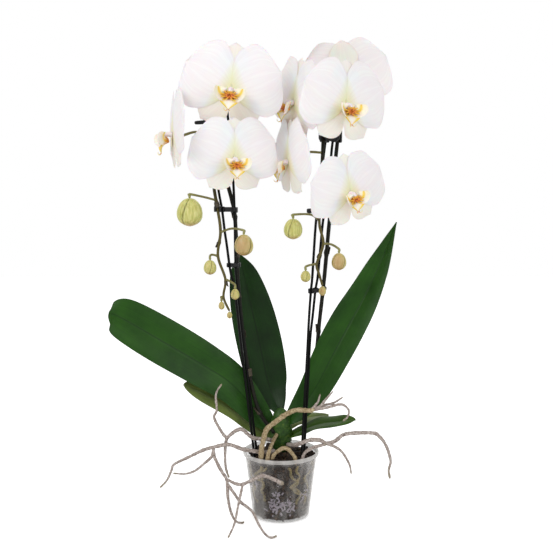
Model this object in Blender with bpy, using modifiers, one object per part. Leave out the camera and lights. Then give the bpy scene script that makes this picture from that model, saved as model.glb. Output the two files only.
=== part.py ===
"""Potted moth orchid: two arching flower spikes on wire hoops, in a clear nursery pot.

Metres, +Z up. The origin is the centre of the pot's flat underside, and the flowers
face -Y. Routes and outlines are written in millimetres and scaled by MM.
"""
import math

import bmesh
import bpy
from mathutils import Vector

MM = 0.001
GAP = 0.3                     # clearance between touching pieces

# Pot, turned about Z
POT_HEIGHT = 105.0
POT_FOOT_RADIUS = 44.5
POT_MOUTH_RADIUS = 57.5
POT_RIM_RADIUS = 60.0
POT_RIM_HEIGHT = 6.0
POT_WALL = 1.0
POT_FLOOR = 1.4
POT_FOOT_ROUND = 4.0
DRAIN_COUNT = 6
DRAIN_RADIUS = 4.5
DRAIN_CIRCLE = 29.0
BARK_TOP = 97.0

# Plant
CROWN_CENTRE = (0.0, 0.0, 135.0)
CROWN_RADII = (17.0, 13.0, 38.0)
LEAF_THICKNESS = 2.2
TEPAL_THICKNESS = 1.2
TEPAL_LEVEL = 0.9             # half the distance between the sepal and petal whorls
TEPAL_ARCH = 0.0012           # backward curve of the flower, mm per square mm from its centre
WIRE_RADIUS = 2.0
SPIKE_RADIUS = 2.8
RACHIS_END_RADIUS = 1.5
PEDICEL_RADIUS = 1.6
ROOT_FULLNESS = 1.25          # of the radii written with the roots' routes


def clear_scene():
    for old in list(bpy.data.objects):
        bpy.data.objects.remove(old)


clear_scene()
plant = bpy.data.collections.new("potted_orchid")
cutters = bpy.data.collections.new("cutters")
bpy.context.scene.collection.children.link(plant)
bpy.context.scene.collection.children.link(cutters)


def make_material(name, colour, roughness, metallic=0.0, transmission=0.0):
    material = bpy.data.materials.new(name)
    material.use_nodes = True
    shader = material.node_tree.nodes["Principled BSDF"]
    shader.inputs["Base Color"].default_value = (*colour, 1.0)
    shader.inputs["Roughness"].default_value = roughness
    shader.inputs["Metallic"].default_value = metallic
    shader.inputs["Transmission Weight"].default_value = transmission
    return material


CLEAR_PLASTIC = make_material("clear_plastic", (0.80, 0.80, 0.78), 0.25, transmission=0.7)
BARK = make_material("bark", (0.10, 0.06, 0.035), 0.9)
LEAF = make_material("leaf", (0.02, 0.07, 0.015), 0.35)
LEAF_OLIVE = make_material("leaf_olive", (0.10, 0.15, 0.03), 0.4)
SEPAL = make_material("sepal", (0.86, 0.80, 0.82), 0.5)
PETAL = make_material("petal", (0.88, 0.83, 0.85), 0.5)
LIP = make_material("lip", (0.80, 0.48, 0.06), 0.45)
BUD = make_material("bud", (0.42, 0.40, 0.10), 0.45)
STEM = make_material("stem", (0.09, 0.10, 0.03), 0.5)
ROOT = make_material("root", (0.45, 0.38, 0.30), 0.8)
WIRE = make_material("coated_wire", (0.012, 0.012, 0.014), 0.3)
CLIP = make_material("clip_plastic", (0.012, 0.012, 0.014), 0.35)


# ---------------------------------------------------------------- shape helpers

def smooth_route(points, steps):
    """Catmull-Rom curve through the points, with this many samples per span, in metres."""
    knots = [Vector(p) for p in points]
    knots = [2 * knots[0] - knots[1]] + knots + [2 * knots[-1] - knots[-2]]
    route = []
    for a, b, c, d in zip(knots, knots[1:], knots[2:], knots[3:]):
        for step in range(steps):
            t = step / steps
            route.append(0.5 * (2 * b + (c - a) * t + (2 * a - 5 * b + 4 * c - d) * t ** 2
                                + (3 * b - a - 3 * c + d) * t ** 3))
    route.append(knots[-2])
    return [p * MM for p in route]


def blend_profile(stations, t):
    """Value at t of a list of (position, value) stations, straight between them."""
    for (t0, v0), (t1, v1) in zip(stations, stations[1:]):
        if t <= t1:
            return v0 + (v1 - v0) * (t - t0) / (t1 - t0)
    return stations[-1][1]


def add_object(name, data, material, collection=plant):
    part = bpy.data.objects.new(name, data)
    collection.objects.link(part)
    if material is not None:
        data.materials.clear()
        data.materials.append(material)
    return part


def baked(part):
    """Swap an object for a plain mesh of its evaluated shape, welded and in place."""
    bpy.context.view_layer.update()
    evaluated = part.evaluated_get(bpy.context.evaluated_depsgraph_get())
    mesh = bpy.data.meshes.new_from_object(evaluated)
    shape = bmesh.new()
    shape.from_mesh(mesh)
    bmesh.ops.remove_doubles(shape, verts=shape.verts, dist=0.00001)
    shape.to_mesh(mesh)
    shape.free()
    mesh.transform(part.matrix_world)
    name, home = part.name, part.users_collection[0]
    bpy.data.objects.remove(part)
    plain = bpy.data.objects.new(name, mesh)
    home.objects.link(plain)
    return plain


def tube(name, points, radii, material, steps=2, resolution=1, collection=plant):
    """Round tube along a smooth route; radii run evenly from its start to its end."""
    curve = bpy.data.curves.new(name, "CURVE")
    curve.dimensions = "3D"
    curve.render_resolution_u = 0
    curve.bevel_depth = MM
    curve.bevel_resolution = resolution
    curve.use_fill_caps = True
    route = smooth_route(points, steps)
    spline = curve.splines.new("POLY")
    spline.points.add(len(route) - 1)
    stations = [(i / (len(radii) - 1), r) for i, r in enumerate(radii)]
    for i, (point, place) in enumerate(zip(spline.points, route)):
        point.co = (*place, 1.0)
        point.radius = blend_profile(stations, i / (len(route) - 1))
    return add_object(name, curve, material, collection)


def boolean(part, other, operation):
    """Join to, or cut from, a mesh object; the other object becomes a guide."""
    modifier = part.modifiers.new(operation.lower(), "BOOLEAN")
    modifier.operation = operation
    modifier.solver = "EXACT"
    modifier.object = other
    other.hide_render = True
    other.display_type = "WIRE"
    for home in list(other.users_collection):
        home.objects.unlink(other)
    cutters.objects.link(other)


def branching_tube(name, branches, material, steps=2, resolution=1):
    """One body of several tubes: each branch is (points, radii)."""
    first, *others = branches
    trunk = baked(tube(name, first[0], first[1], material, steps, resolution))
    for number, (points, radii) in enumerate(others):
        twig = tube(f"{name}_branch_{number}", points, radii, material, steps, resolution,
                    collection=cutters)
        boolean(trunk, baked(twig), "UNION")
    return trunk


def blade(name, points, widths, facings, fold, thickness, material,
          rows=10, columns=4, collection=plant):
    """Leaf or tepal: a sheet along a midrib, its halves folded up by the fold angle.

    widths are (position, half width) stations; the upper face turns from the first
    facing at the base to the second at the tip.
    """
    steps = 6
    line = smooth_route(points, steps)
    verts, faces = [], []
    for row in range(rows + 1):
        t = row / rows
        place = t * (len(line) - 1)
        low = min(int(place), len(line) - 2)
        centre = line[low].lerp(line[low + 1], place - low)
        along = (line[low + 1] - line[low]).normalized()
        facing = Vector(facings[0]).lerp(Vector(facings[1]), t)
        side = along.cross(facing).normalized()
        normal = side.cross(along).normalized()
        half = blend_profile(widths, t) * MM
        for column in range(columns + 1):
            s = 2.0 * column / columns - 1.0
            verts.append(centre + side * (half * s * math.cos(fold))
                         + normal * (half * abs(s) * math.sin(fold)))
    width = columns + 1
    for row in range(rows):
        for column in range(columns):
            a = row * width + column
            faces.append((a, a + 1, a + width + 1, a + width))
    mesh = bpy.data.meshes.new(name)
    mesh.from_pydata(verts, [], faces)
    part = add_object(name, mesh, material, collection)
    solid = part.modifiers.new("thickness", "SOLIDIFY")
    solid.thickness = thickness * MM
    solid.offset = 0.0
    return part


def turned(name, profile, material, steps=32, collection=plant):
    """Solid of revolution about Z from an (r, z) profile in mm, outer side downwards."""
    mesh = bpy.data.meshes.new(name)
    verts = [(r * MM, 0.0, z * MM) for r, z in profile]
    mesh.from_pydata(verts, [(i, i + 1) for i in range(len(verts) - 1)], [])
    part = add_object(name, mesh, material, collection)
    screw = part.modifiers.new("turn", "SCREW")
    screw.axis = "Z"
    screw.steps = steps
    screw.render_steps = steps
    screw.use_merge_vertices = True
    screw.merge_threshold = 0.00001
    return part


def ball(name, centre, radii, material, segments=12, rings=8, collection=plant):
    shape = bmesh.new()
    bmesh.ops.create_uvsphere(shape, u_segments=segments, v_segments=rings, radius=1.0)
    bmesh.ops.scale(shape, vec=Vector(radii) * MM, verts=shape.verts)
    bmesh.ops.translate(shape, vec=Vector(centre) * MM, verts=shape.verts)
    mesh = bpy.data.meshes.new(name)
    shape.to_mesh(mesh)
    shape.free()
    return add_object(name, mesh, material, collection)


def box(name, centre, size, material, bevel=0.0, turn=0.0, collection=plant):
    """Box of a size in mm, turned about Y, with rounded edges."""
    shape = bmesh.new()
    bmesh.ops.create_cube(shape, size=1.0)
    bmesh.ops.scale(shape, vec=Vector(size) * MM, verts=shape.verts)
    mesh = bpy.data.meshes.new(name)
    shape.to_mesh(mesh)
    shape.free()
    part = add_object(name, mesh, material, collection)
    part.location = Vector(centre) * MM
    part.rotation_euler = (0.0, turn, 0.0)
    if bevel:
        rounding = part.modifiers.new("rounding", "BEVEL")
        rounding.width = bevel * MM
        rounding.segments = 1
    return part


# ---------------------------------------------------------------- pot and bark

def wall_radius(z):
    """Outer radius of the pot's side at a height."""
    return POT_FOOT_RADIUS + (POT_MOUTH_RADIUS - POT_FOOT_RADIUS) * z / POT_HEIGHT


def make_pot():
    foot = POT_FOOT_ROUND
    lip_low = POT_HEIGHT - POT_RIM_HEIGHT
    corner = [(wall_radius(foot) - foot + foot * math.cos(a), foot - foot * math.sin(a))
              for a in (0.0, math.radians(45), math.radians(90))]
    profile = [(POT_RIM_RADIUS - 1.0, POT_HEIGHT), (POT_RIM_RADIUS, POT_HEIGHT - 1.2),
               (POT_RIM_RADIUS, lip_low + 0.8), (POT_RIM_RADIUS - 1.0, lip_low),
               (wall_radius(lip_low), lip_low), *corner, (0.0, 0.0)]
    inside = [(0.0, POT_FLOOR), (wall_radius(foot) - foot - 1.0, POT_FLOOR),
              (wall_radius(foot) - POT_WALL, foot + 0.8),
              (wall_radius(lip_low) - POT_WALL, lip_low),
              (POT_MOUTH_RADIUS - POT_WALL, POT_HEIGHT)]
    closing = [profile[0]]
    pot = baked(turned("nursery_pot", profile + inside + closing, CLEAR_PLASTIC, steps=32))
    pot.data.materials.clear()
    pot.data.materials.append(CLEAR_PLASTIC)
    for i in range(DRAIN_COUNT):
        angle = 2 * math.pi * i / DRAIN_COUNT
        shape = bmesh.new()
        bmesh.ops.create_cone(shape, cap_ends=True, segments=8, radius1=DRAIN_RADIUS * MM,
                              radius2=DRAIN_RADIUS * MM, depth=6 * MM)
        mesh = bpy.data.meshes.new(f"drain_{i}")
        shape.to_mesh(mesh)
        shape.free()
        hole = add_object(f"drain_{i}", mesh, None, cutters)
        hole.location = Vector((DRAIN_CIRCLE * math.cos(angle), DRAIN_CIRCLE * math.sin(angle),
                                0.0)) * MM
        boolean(pot, hole, "DIFFERENCE")
    return pot


def bark_profile(grow):
    """Profile of the bark in the pot, grown by a clearance in mm."""
    low = POT_FLOOR + GAP - grow
    inset = POT_WALL + GAP - grow
    return [(0.0, BARK_TOP + 2.0 + grow), (30.0, BARK_TOP + 1.4 + grow),
            (wall_radius(BARK_TOP) - inset, BARK_TOP - 1.0 + grow),
            (wall_radius(6.0) - inset, 6.0), (wall_radius(4.0) - 4.0 - inset, low), (0.0, low)]


# ---------------------------------------------------------------- hoops and spikes

LEFT_HOOP = [(-31, -14, 45), (-37, -14, 95), (-42, -14, 139), (-57, -14, 269), (-67, -14, 363),
             (-70, -14, 406), (-71, -13, 476), (-73, -12, 531), (-76, -11, 576), (-80, -10, 620),
             (-84, -11, 645), (-92, -12, 656), (-101, -12, 647), (-103, -11, 621),
             (-101, -12, 576), (-96, -13, 520), (-90, -16, 485), (-86, -17, 452), (-83, -19, 432),
             (-79, -20, 401), (-76, -20, 384), (-71, -20, 363), (-61, -19, 269), (-46, -19, 139),
             (-41, -19, 95), (-35, -19, 45)]
RIGHT_HOOP = [(29, -28, 45), (32, -28, 100), (34, -28, 142), (38, -28, 222), (40, -26, 259),
              (43, -23, 320), (46, -20, 363), (48, -19, 384), (53, -16, 464), (59, -10, 516),
              (66, -6, 576), (70, -6, 604), (74, -6, 624), (78, -6, 627), (81, -7, 618),
              (80, -8, 600), (77, -9, 576), (72, -10, 516), (64, -14, 467), (57, -17, 389),
              (53, -18, 363), (49, -18, 324), (45, -19, 285), (42, -22, 222), (38, -22, 142),
              (36, -22, 100), (33, -22, 45)]

LEFT_SPIKE = [(-10, -9, 134), (-33, -11, 168), (-47, -9, 215), (-58, -7, 280), (-66, -7, 363),
              (-68, -6, 406), (-71, -6, 476), (-76, -6, 502), (-83, -5, 531), (-88, -3, 576),
              (-90, -2, 620), (-93, -2, 652), (-101, -4, 666), (-110, -8, 654), (-112, -13, 621),
              (-108, -17, 576), (-102, -20, 520), (-96, -23, 485), (-92, -26, 452),
              (-96, -28, 416), (-85, -27, 380), (-88, -26, 353), (-79, -26, 330.6)]
RIGHT_SPIKE = [(10, 5, 142), (28, 12, 160), (42, 15, 192), (55, 16, 250), (61, 14, 310),
               (65, 10, 350), (68, 8, 381), (75, 4, 468), (80, 2, 520), (85, 2, 576),
               (89, 2, 610), (91, 2, 638), (85, 2, 656), (75, 0, 655), (67, -5, 632),
               (64, -13, 600), (63, -16, 576), (60, -22, 516), (58, -26, 466), (64, -31, 435),
               (54, -31, 404), (58, -31, 388), (63, -32, 370.4)]

# Flowers: hub centre, yaw, nod and roll in degrees, scale, and the route of the
# pedicel from the spike to a point behind the hub.
FLOWERS = {
    "left_top": ((-74, -50, 661), 0, 2, 7, 1.0, [(-94, -3, 656), (-88, -16, 668), (-79, -34, 666)]),
    "left_side": ((-161, -34, 597), -76, 0, -2, 0.97, [(-108, -15, 588), (-126, -26, 602)]),
    "left_low": ((-69, -60, 560), 18, 4, 0, 0.89, [(-107, -17, 570), (-90, -36, 572)]),
    "right_top": ((93, -70, 637), 30, 3, 2, 0.96, [(66, -7, 626), (72, -34, 634)]),
    "right_back": ((100, 20, 680), 180, -4, 8, 0.92, [(90, 2, 642), (98, 2, 658)]),
    "right_side": ((19, -12, 646), -62, 0, 12, 0.96, [(67, -5, 634), (50, -2, 642)]),
    "right_middle": ((11, -14, 557), -70, 3, 2, 0.94, [(63, -16, 572), (38, -14, 572)]),
    "right_low": ((101, -65, 510), 30, 5, -12, 0.86, [(60, -21, 520), (74, -40, 524)]),
}

# Buds: centre, half width, half height, and the route of the pedicel
BUDS = {
    "left_1": ((-138, -30, 483), 19.5, 20.5, [(-98, -21, 500), (-116, -27, 505), (-132, -30, 508)]),
    "left_2": ((-56, -42, 434), 14, 15.5, [(-92, -26, 452), (-74, -36, 458), (-61, -41, 455)]),
    "left_3": ((-108, -30, 399), 9.6, 10.8, [(-96, -28, 416), (-105, -29, 418), (-109, -30, 413)]),
    "left_4": ((-70, -32, 358), 6.5, 8.0, [(-85, -27, 380), (-77, -30, 377), (-72, -32, 370)]),
    "left_5": ((-91, -29, 340), 4.6, 6.0, [(-88, -26, 353), (-92, -28, 353), (-92, -29, 349)]),
    "left_6": ((-79, -26, 325), 4.0, 5.2, []),
    "right_1": ((18, -40, 458), 14, 15, [(58, -26, 470), (44, -34, 479), (26, -39, 480)]),
    "right_2": ((87, -42, 409), 11, 12.5, [(64, -31, 435), (76, -37, 434), (84, -41, 427)]),
    "right_3": ((37, -38, 386), 7.5, 8.5, [(54, -31, 404), (45, -35, 403), (39, -37, 398)]),
    "right_4": ((63, -32, 363), 5.5, 7.0, []),
}


def flower_axes(yaw, nod):
    """Direction from the hub towards the back of a flower."""
    yaw, nod = math.radians(yaw), math.radians(nod)
    return Vector((-math.sin(yaw) * math.cos(nod), math.cos(yaw) * math.cos(nod),
                   math.sin(nod)))


def pedicels(side):
    """Pedicel branches of one spike: to its flowers' hubs and its buds' bases."""
    branches = []
    for name, (hub, yaw, nod, _, scale, route) in FLOWERS.items():
        if name.startswith(side):
            back = flower_axes(yaw, nod)
            seat = (TEPAL_LEVEL + TEPAL_THICKNESS / 2) * scale + GAP
            ends = [tuple(Vector(hub) + back * reach) for reach in (14, 6, seat)]
            branches.append((route + ends, (PEDICEL_RADIUS, PEDICEL_RADIUS + 0.6)))
    for name, (centre, _, half_height, route) in BUDS.items():
        if name.startswith(side) and route:
            x, y, z = centre
            ends = [(x, y, z + half_height + lift) for lift in (6, 3, GAP + 0.2)]
            branches.append((route[:-1] + ends, (PEDICEL_RADIUS - 0.2, PEDICEL_RADIUS - 0.2)))
    return branches


def make_hoop(name, route):
    return tube(name, route, (WIRE_RADIUS, WIRE_RADIUS), WIRE, steps=2, resolution=1)


def make_spike(side, route):
    radii = (SPIKE_RADIUS, SPIKE_RADIUS, SPIKE_RADIUS - 0.3, RACHIS_END_RADIUS)
    return branching_tube(f"spike_{side}", [(route, radii)] + pedicels(side), STEM)


def make_bud(name, centre, half_width, half_height):
    return ball(f"bud_{name}", centre, (half_width, half_width * 0.9, half_height), BUD,
                segments=8, rings=6)


# ---------------------------------------------------------------- flowers

SEPAL_WIDTHS = [(0.0, 5.0), (0.25, 13.0), (0.6, 23.0), (0.85, 16.0), (1.0, 3.0)]
PETAL_WIDTHS = [(0.0, 6.0), (0.15, 28.0), (0.35, 46.0), (0.6, 53.0), (0.85, 42.0), (1.0, 12.0)]
DORSAL_LENGTH = 70.0
LATERAL_LENGTH = 61.0
PETAL_LENGTH = 79.0
LATERAL_ANGLE = 48.0
PETAL_ANGLE = 26.0


def arched(x, z, level):
    """Point of a whorl: level is its distance behind the flower's middle surface."""
    return (x, TEPAL_ARCH * (x * x + z * z) + level, z)


def tepal(name, angle, length, widths, level, columns):
    """One tepal of the unit flower, which faces -Y, with its base at the hub."""
    angle = math.radians(angle)
    points = [arched(r * math.cos(angle), r * math.sin(angle), level)
              for r in (2.0, length * 0.34, length * 0.67, length)]
    part = blade(name, points, widths, [(0, -1, 0), (0, -1, 0)], 0.0, TEPAL_THICKNESS, None,
                 rows=5, columns=columns, collection=cutters)
    for vertex in part.data.vertices:
        x, _, z = vertex.co / MM
        vertex.co = Vector(arched(x, z, level)) * MM
    return baked(part)


def whorl(name, angles, lengths, widths, level, columns, hub_radius):
    """Tepals joined at the hub by a small disc."""
    shape = bmesh.new()
    bmesh.ops.create_cone(shape, cap_ends=True, segments=8, radius1=hub_radius * MM,
                          radius2=hub_radius * MM, depth=TEPAL_THICKNESS * MM)
    mesh = bpy.data.meshes.new(name)
    shape.to_mesh(mesh)
    shape.free()
    hub = add_object(name, mesh, None, cutters)
    hub.rotation_euler = (math.radians(90), 0.0, 0.0)
    hub.location = (0.0, level * MM, 0.0)
    hub = baked(hub)
    for angle, length in zip(angles, lengths):
        boolean(hub, tepal(f"{name}_{angle}", angle, length, widths, level, columns), "UNION")
    return baked(hub)


def unit_lip():
    """Column with its cap, and the lip below it: two side lobes and a middle lobe."""
    front = -(TEPAL_LEVEL + TEPAL_THICKNESS / 2 + GAP)
    column = baked(tube("unit_lip", [(0, front, 1), (0, -8, 1), (0, -14, -2)], (4.2, 3.8, 4.4),
                        LIP, collection=cutters))
    callus = ball("lip_callus", (0, -9, -7), (5, 6, 5), LIP, segments=6, rings=4,
                  collection=cutters)
    middle = baked(blade("lip_middle", [(0, -7, -8), (0, -13, -16), (0, -17, -25), (0, -16, -31)],
                         [(0.0, 4.0), (0.5, 9.0), (0.8, 11.0), (1.0, 2.0)],
                         [(0, -1, 0.3), (0, -1, 0)], 0.2, TEPAL_THICKNESS, LIP, rows=3,
                         columns=2, collection=cutters))
    boolean(column, callus, "UNION")
    boolean(column, middle, "UNION")
    for side in (-1, 1):
        wing = baked(blade(f"lip_wing_{side}", [(side * 2, -8, -8), (side * 9, -13, -8),
                                                (side * 16, -15, -2), (side * 19, -13, 6)],
                           [(0.0, 4.0), (0.5, 8.0), (0.8, 7.0), (1.0, 2.0)],
                           [(0, -1, 0.2), (-side * 0.5, -1, 0)], 0.2, TEPAL_THICKNESS, LIP,
                           rows=3, columns=2, collection=cutters))
        boolean(column, wing, "UNION")
    return baked(column)


def make_flowers():
    units = {
        "sepals": (whorl("unit_sepals", (90, -LATERAL_ANGLE, 180 + LATERAL_ANGLE),
                         (DORSAL_LENGTH, LATERAL_LENGTH, LATERAL_LENGTH), SEPAL_WIDTHS,
                         TEPAL_LEVEL, 2, 7.0), SEPAL),
        "petals": (whorl("unit_petals", (PETAL_ANGLE, 180 - PETAL_ANGLE),
                         (PETAL_LENGTH, PETAL_LENGTH), PETAL_WIDTHS, -TEPAL_LEVEL, 3, 6.0),
                   PETAL),
        "lip": (unit_lip(), LIP),
    }
    for piece, (unit, material) in units.items():
        unit.data.materials.clear()
        unit.data.materials.append(material)
    for name, (hub, yaw, nod, roll, scale, _) in FLOWERS.items():
        frame = bpy.data.objects.new(f"flower_{name}", None)
        plant.objects.link(frame)
        frame.location = Vector(hub) * MM
        frame.rotation_mode = "YXZ"
        frame.rotation_euler = [math.radians(a) for a in (nod, roll, yaw)]
        frame.scale = (scale, scale, scale)
        for piece, (unit, _) in units.items():
            copy = bpy.data.objects.new(f"flower_{name}_{piece}", unit.data)
            plant.objects.link(copy)
            copy.parent = frame
    for unit, _ in units.values():
        bpy.data.objects.remove(unit)


# ---------------------------------------------------------------- leaves, crown and roots

LEAVES = {
    # name: midrib, half widths, facing at the base and the tip, fold in degrees, material
    "left_large": ([(-11, 3, 141), (-32, 3, 158), (-76, -8, 212), (-122, -20, 246),
                    (-183, -34, 286), (-243, -45, 324), (-260, -48, 331)],
                   [(0.0, 9), (0.12, 16), (0.35, 31), (0.6, 37), (0.8, 34), (0.93, 22),
                    (1.0, 5)], [(0, -0.95, 0.3), (-0.1, -0.8, 0.6)], 12, LEAF),
    "left_lower": ([(-10, 3, 120), (-30, 9, 130), (-50, 10, 147), (-76, 2, 169),
                    (-114, -13, 196), (-150, -29, 217)],
                   [(0.0, 7), (0.3, 15), (0.6, 19), (0.85, 17), (1.0, 5)],
                   [(0.2, -0.7, 0.65), (0.2, -0.7, 0.7)], 14, LEAF_OLIVE),
    "centre": ([(-2, 5, 165), (-10, 17, 183), (-21, 27, 210), (-34, 33, 269), (-46, 37, 322),
                (-59, 41, 378), (-67, 43, 412)],
               [(0.0, 8), (0.15, 19), (0.4, 35), (0.65, 35), (0.85, 21), (1.0, 3)],
               [(0, -0.95, 0.3), (0, -0.97, 0.2)], 10, LEAF),
    "right_large": ([(11, 0, 152), (32, -2, 174), (56, -1, 208), (82, 3, 258), (108, 8, 306),
                     (133, 11, 352), (158, 15, 406), (181, 20, 465)],
                    [(0.0, 11), (0.15, 20), (0.4, 31), (0.6, 32), (0.8, 22), (0.93, 11),
                     (1.0, 2)], [(-0.2, -0.97, 0.1), (-0.45, -0.85, 0.1)], 22, LEAF),
    "right_lower": ([(10, 0, 124), (36, -3, 138), (62, -13, 150), (90, -28, 158),
                     (114, -40, 165)],
                    [(0.0, 8), (0.3, 14), (0.6, 16), (0.85, 10), (1.0, 2)],
                    [(0, -0.3, 0.95), (0, -0.5, 0.85)], 12, LEAF),
    "right_back": ([(5, 10, 133), (22, 25, 143), (50, 36, 148), (78, 46, 149)],
                   [(0.0, 7), (0.3, 12), (0.6, 13), (0.85, 9), (1.0, 2)],
                   [(0, -0.3, 0.95), (0, -0.3, 0.95)], 10, LEAF_OLIVE),
}

# Roots: the first branch is the trunk; each branch is a route and its radii
ROOTS = {
    "front_branched": [
        ([(-31, -37, 94), (-30, -41, 118), (-27, -43, 134), (-22, -43, 150), (-9, -45, 162),
          (9, -45, 175), (24, -45, 181), (44, -45, 180), (54, -46, 184)], (3.2, 3.0, 2.6)),
        ([(50, -46, 182), (60, -48, 188), (68, -51, 199), (79, -55, 213)], (2.0, 0.9)),
        ([(50, -45, 182), (65, -43, 188), (80, -41, 191), (95, -40, 200)], (2.0, 0.9)),
        ([(50, -46, 182), (70, -49, 186), (92, -50, 191), (103, -50, 182), (101, -50, 171),
          (94, -50, 165)], (2.0, 1.0)),
        ([(46, -45, 181), (56, -42, 192), (60, -40, 205)], (1.8, 0.9)),
    ],
    "left_upright": [
        ([(-10, -8, 122), (-24, -20, 128), (-44, -33, 134), (-62, -42, 150), (-80, -45, 140),
          (-85, -45, 129), (-86, -46, 110), (-85, -47, 91), (-80, -48, 75)], (2.4, 2.2, 1.2)),
        ([(-82, -45, 136), (-90, -48, 146), (-102, -50, 170), (-98, -50, 182),
          (-99, -50, 207), (-90, -50, 223)], (1.9, 1.0)),
    ],
    "left_cascade": [
        ([(-10, -10, 106), (-24, -26, 108), (-40, -38, 114), (-59, -50, 121), (-80, -56, 130),
          (-104, -50, 124), (-120, -42, 117), (-141, -36, 105), (-166, -31, 91),
          (-171, -30, 80), (-178, -30, 65), (-189, -30, 53)], (2.6, 2.2, 1.1)),
        ([(-103, -50, 124), (-106, -50, 110), (-117, -49, 99), (-132, -50, 87),
          (-148, -50, 82), (-166, -50, 83)], (1.9, 0.9)),
        ([(-104, -50, 120), (-102, -52, 110), (-97, -54, 99), (-90, -57, 87), (-83, -61, 76),
          (-81, -65, 51), (-77, -66, 29), (-70, -61, 12), (-62, -50, 4), (-57, -43, 3)],
         (2.0, 1.8, 1.2)),
        ([(-82, -62, 70), (-72, -67, 58), (-61, -72, 45), (-44, -80, 34), (-33, -92, 17),
          (-24, -101, 7), (-15, -105, 3), (-6, -98, 3)], (1.9, 1.6, 1.1)),
        ([(-83, -61, 77), (-67, -68, 72), (-56, -72, 74), (-38, -76, 84), (-29, -76, 88),
          (-17, -76, 85), (4, -74, 74)], (1.8, 2.0, 2.3)),
        ([(-58, -72, 74), (-61, -76, 60), (-65, -83, 42), (-70, -95, 20), (-79, -107, 3)],
         (1.6, 1.1)),
    ],
    "right_long": [
        ([(10, -8, 116), (20, -26, 120), (29, -37, 126), (44, -39, 132), (60, -36, 131),
          (70, -35, 126), (83, -35, 129), (96, -35, 139), (113, -35, 142), (143, -32, 141),
          (153, -32, 135), (163, -32, 121), (170, -34, 98), (167, -36, 83), (169, -38, 70)],
         (2.6, 2.4, 2.2, 1.2)),
        ([(69, -36, 126), (82, -39, 122), (94, -42, 114), (105, -45, 96), (108, -48, 81)],
         (1.9, 1.0)),
        ([(31, -37, 94), (36, -40, 111), (48, -41, 120), (70, -36, 125)], (1.8, 2.0)),
    ],
    "bark_arch": [
        ([(-14, -40, 93), (-11, -41, 109), (6, -44, 121), (20, -43, 108), (24, -41, 93)],
         (2.2, 2.4, 2.2)),
    ],
    "bark_strand": [
        ([(-5, -6, 134), (-12, -26, 127), (-19, -40, 112), (-22, -43, 93)], (2.0, 2.6)),
    ],
}


def make_leaf(name, midrib, widths, facings, fold, material):
    part = blade(f"leaf_{name}", midrib, widths, facings, math.radians(fold), LEAF_THICKNESS,
                 material, rows=12, columns=4)
    return baked(part)


# ---------------------------------------------------------------- clips on the hoops

# Clips: centre, size and turn about Y in degrees
CLIPS = {
    "left_top": ((-112, -13, 618), (38, 15, 7), -4),
    "left_link": ((-84, -12, 486), (34, 13, 9), 0),
    "left_low": ((-74, -15, 401), (18, 15, 7), 0),
    "right_top": ((73, -8, 600), (32, 20, 26), 0),
    "right_side": ((50, -17, 484), (22, 12, 9), 0),
    "right_low": ((53, -19, 362), (18, 10, 8), 0),
}


# ---------------------------------------------------------------- the whole plant

def build():
    make_pot()
    bark = baked(turned("bark_substrate", bark_profile(0.0), BARK, steps=32))
    bark_clearance = baked(turned("bark_clearance", bark_profile(GAP), None, steps=32,
                                  collection=cutters))
    crown = ball("crown", CROWN_CENTRE, CROWN_RADII, LEAF_OLIVE, segments=12, rings=10)
    crown_clearance = ball("crown_clearance", CROWN_CENTRE, [r + GAP for r in CROWN_RADII],
                           None, segments=12, rings=10, collection=cutters)
    boolean(crown, bark_clearance, "DIFFERENCE")

    strands = {}
    for name, route in (("hoop_left", LEFT_HOOP), ("hoop_right", RIGHT_HOOP)):
        make_hoop(name, route)
        strands[name] = baked(tube(f"{name}_clearance", route,
                                   (WIRE_RADIUS + GAP, WIRE_RADIUS + GAP), None, steps=2,
                                   collection=cutters))
        boolean(bark, strands[name], "DIFFERENCE")
    for side, route in (("left", LEFT_SPIKE), ("right", RIGHT_SPIKE)):
        boolean(make_spike(side, route), crown_clearance, "DIFFERENCE")
        radii = [r + GAP for r in (SPIKE_RADIUS, SPIKE_RADIUS, SPIKE_RADIUS - 0.3,
                                   RACHIS_END_RADIUS)]
        strands[f"spike_{side}"] = baked(tube(f"spike_{side}_clearance", route, radii, None,
                                              collection=cutters))

    for name, leaf in LEAVES.items():
        boolean(make_leaf(name, *leaf), crown_clearance, "DIFFERENCE")
    for name, branches in ROOTS.items():
        full = [(route, [r * ROOT_FULLNESS for r in radii]) for route, radii in branches]
        root = branching_tube(f"root_{name}", full, ROOT, steps=1)
        boolean(root, crown_clearance, "DIFFERENCE")
        boolean(root, bark_clearance, "DIFFERENCE")
    for name, (centre, half_width, half_height, _) in BUDS.items():
        make_bud(name, centre, half_width, half_height)
    for name, (centre, size, turn) in CLIPS.items():
        clip = baked(box(f"clip_{name}", centre, size, CLIP, bevel=1.5, turn=math.radians(turn)))
        side = name.split("_")[0]
        boolean(clip, strands[f"hoop_{side}"], "DIFFERENCE")
        boolean(clip, strands[f"spike_{side}"], "DIFFERENCE")
    make_flowers()


build()
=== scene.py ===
import math

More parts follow.
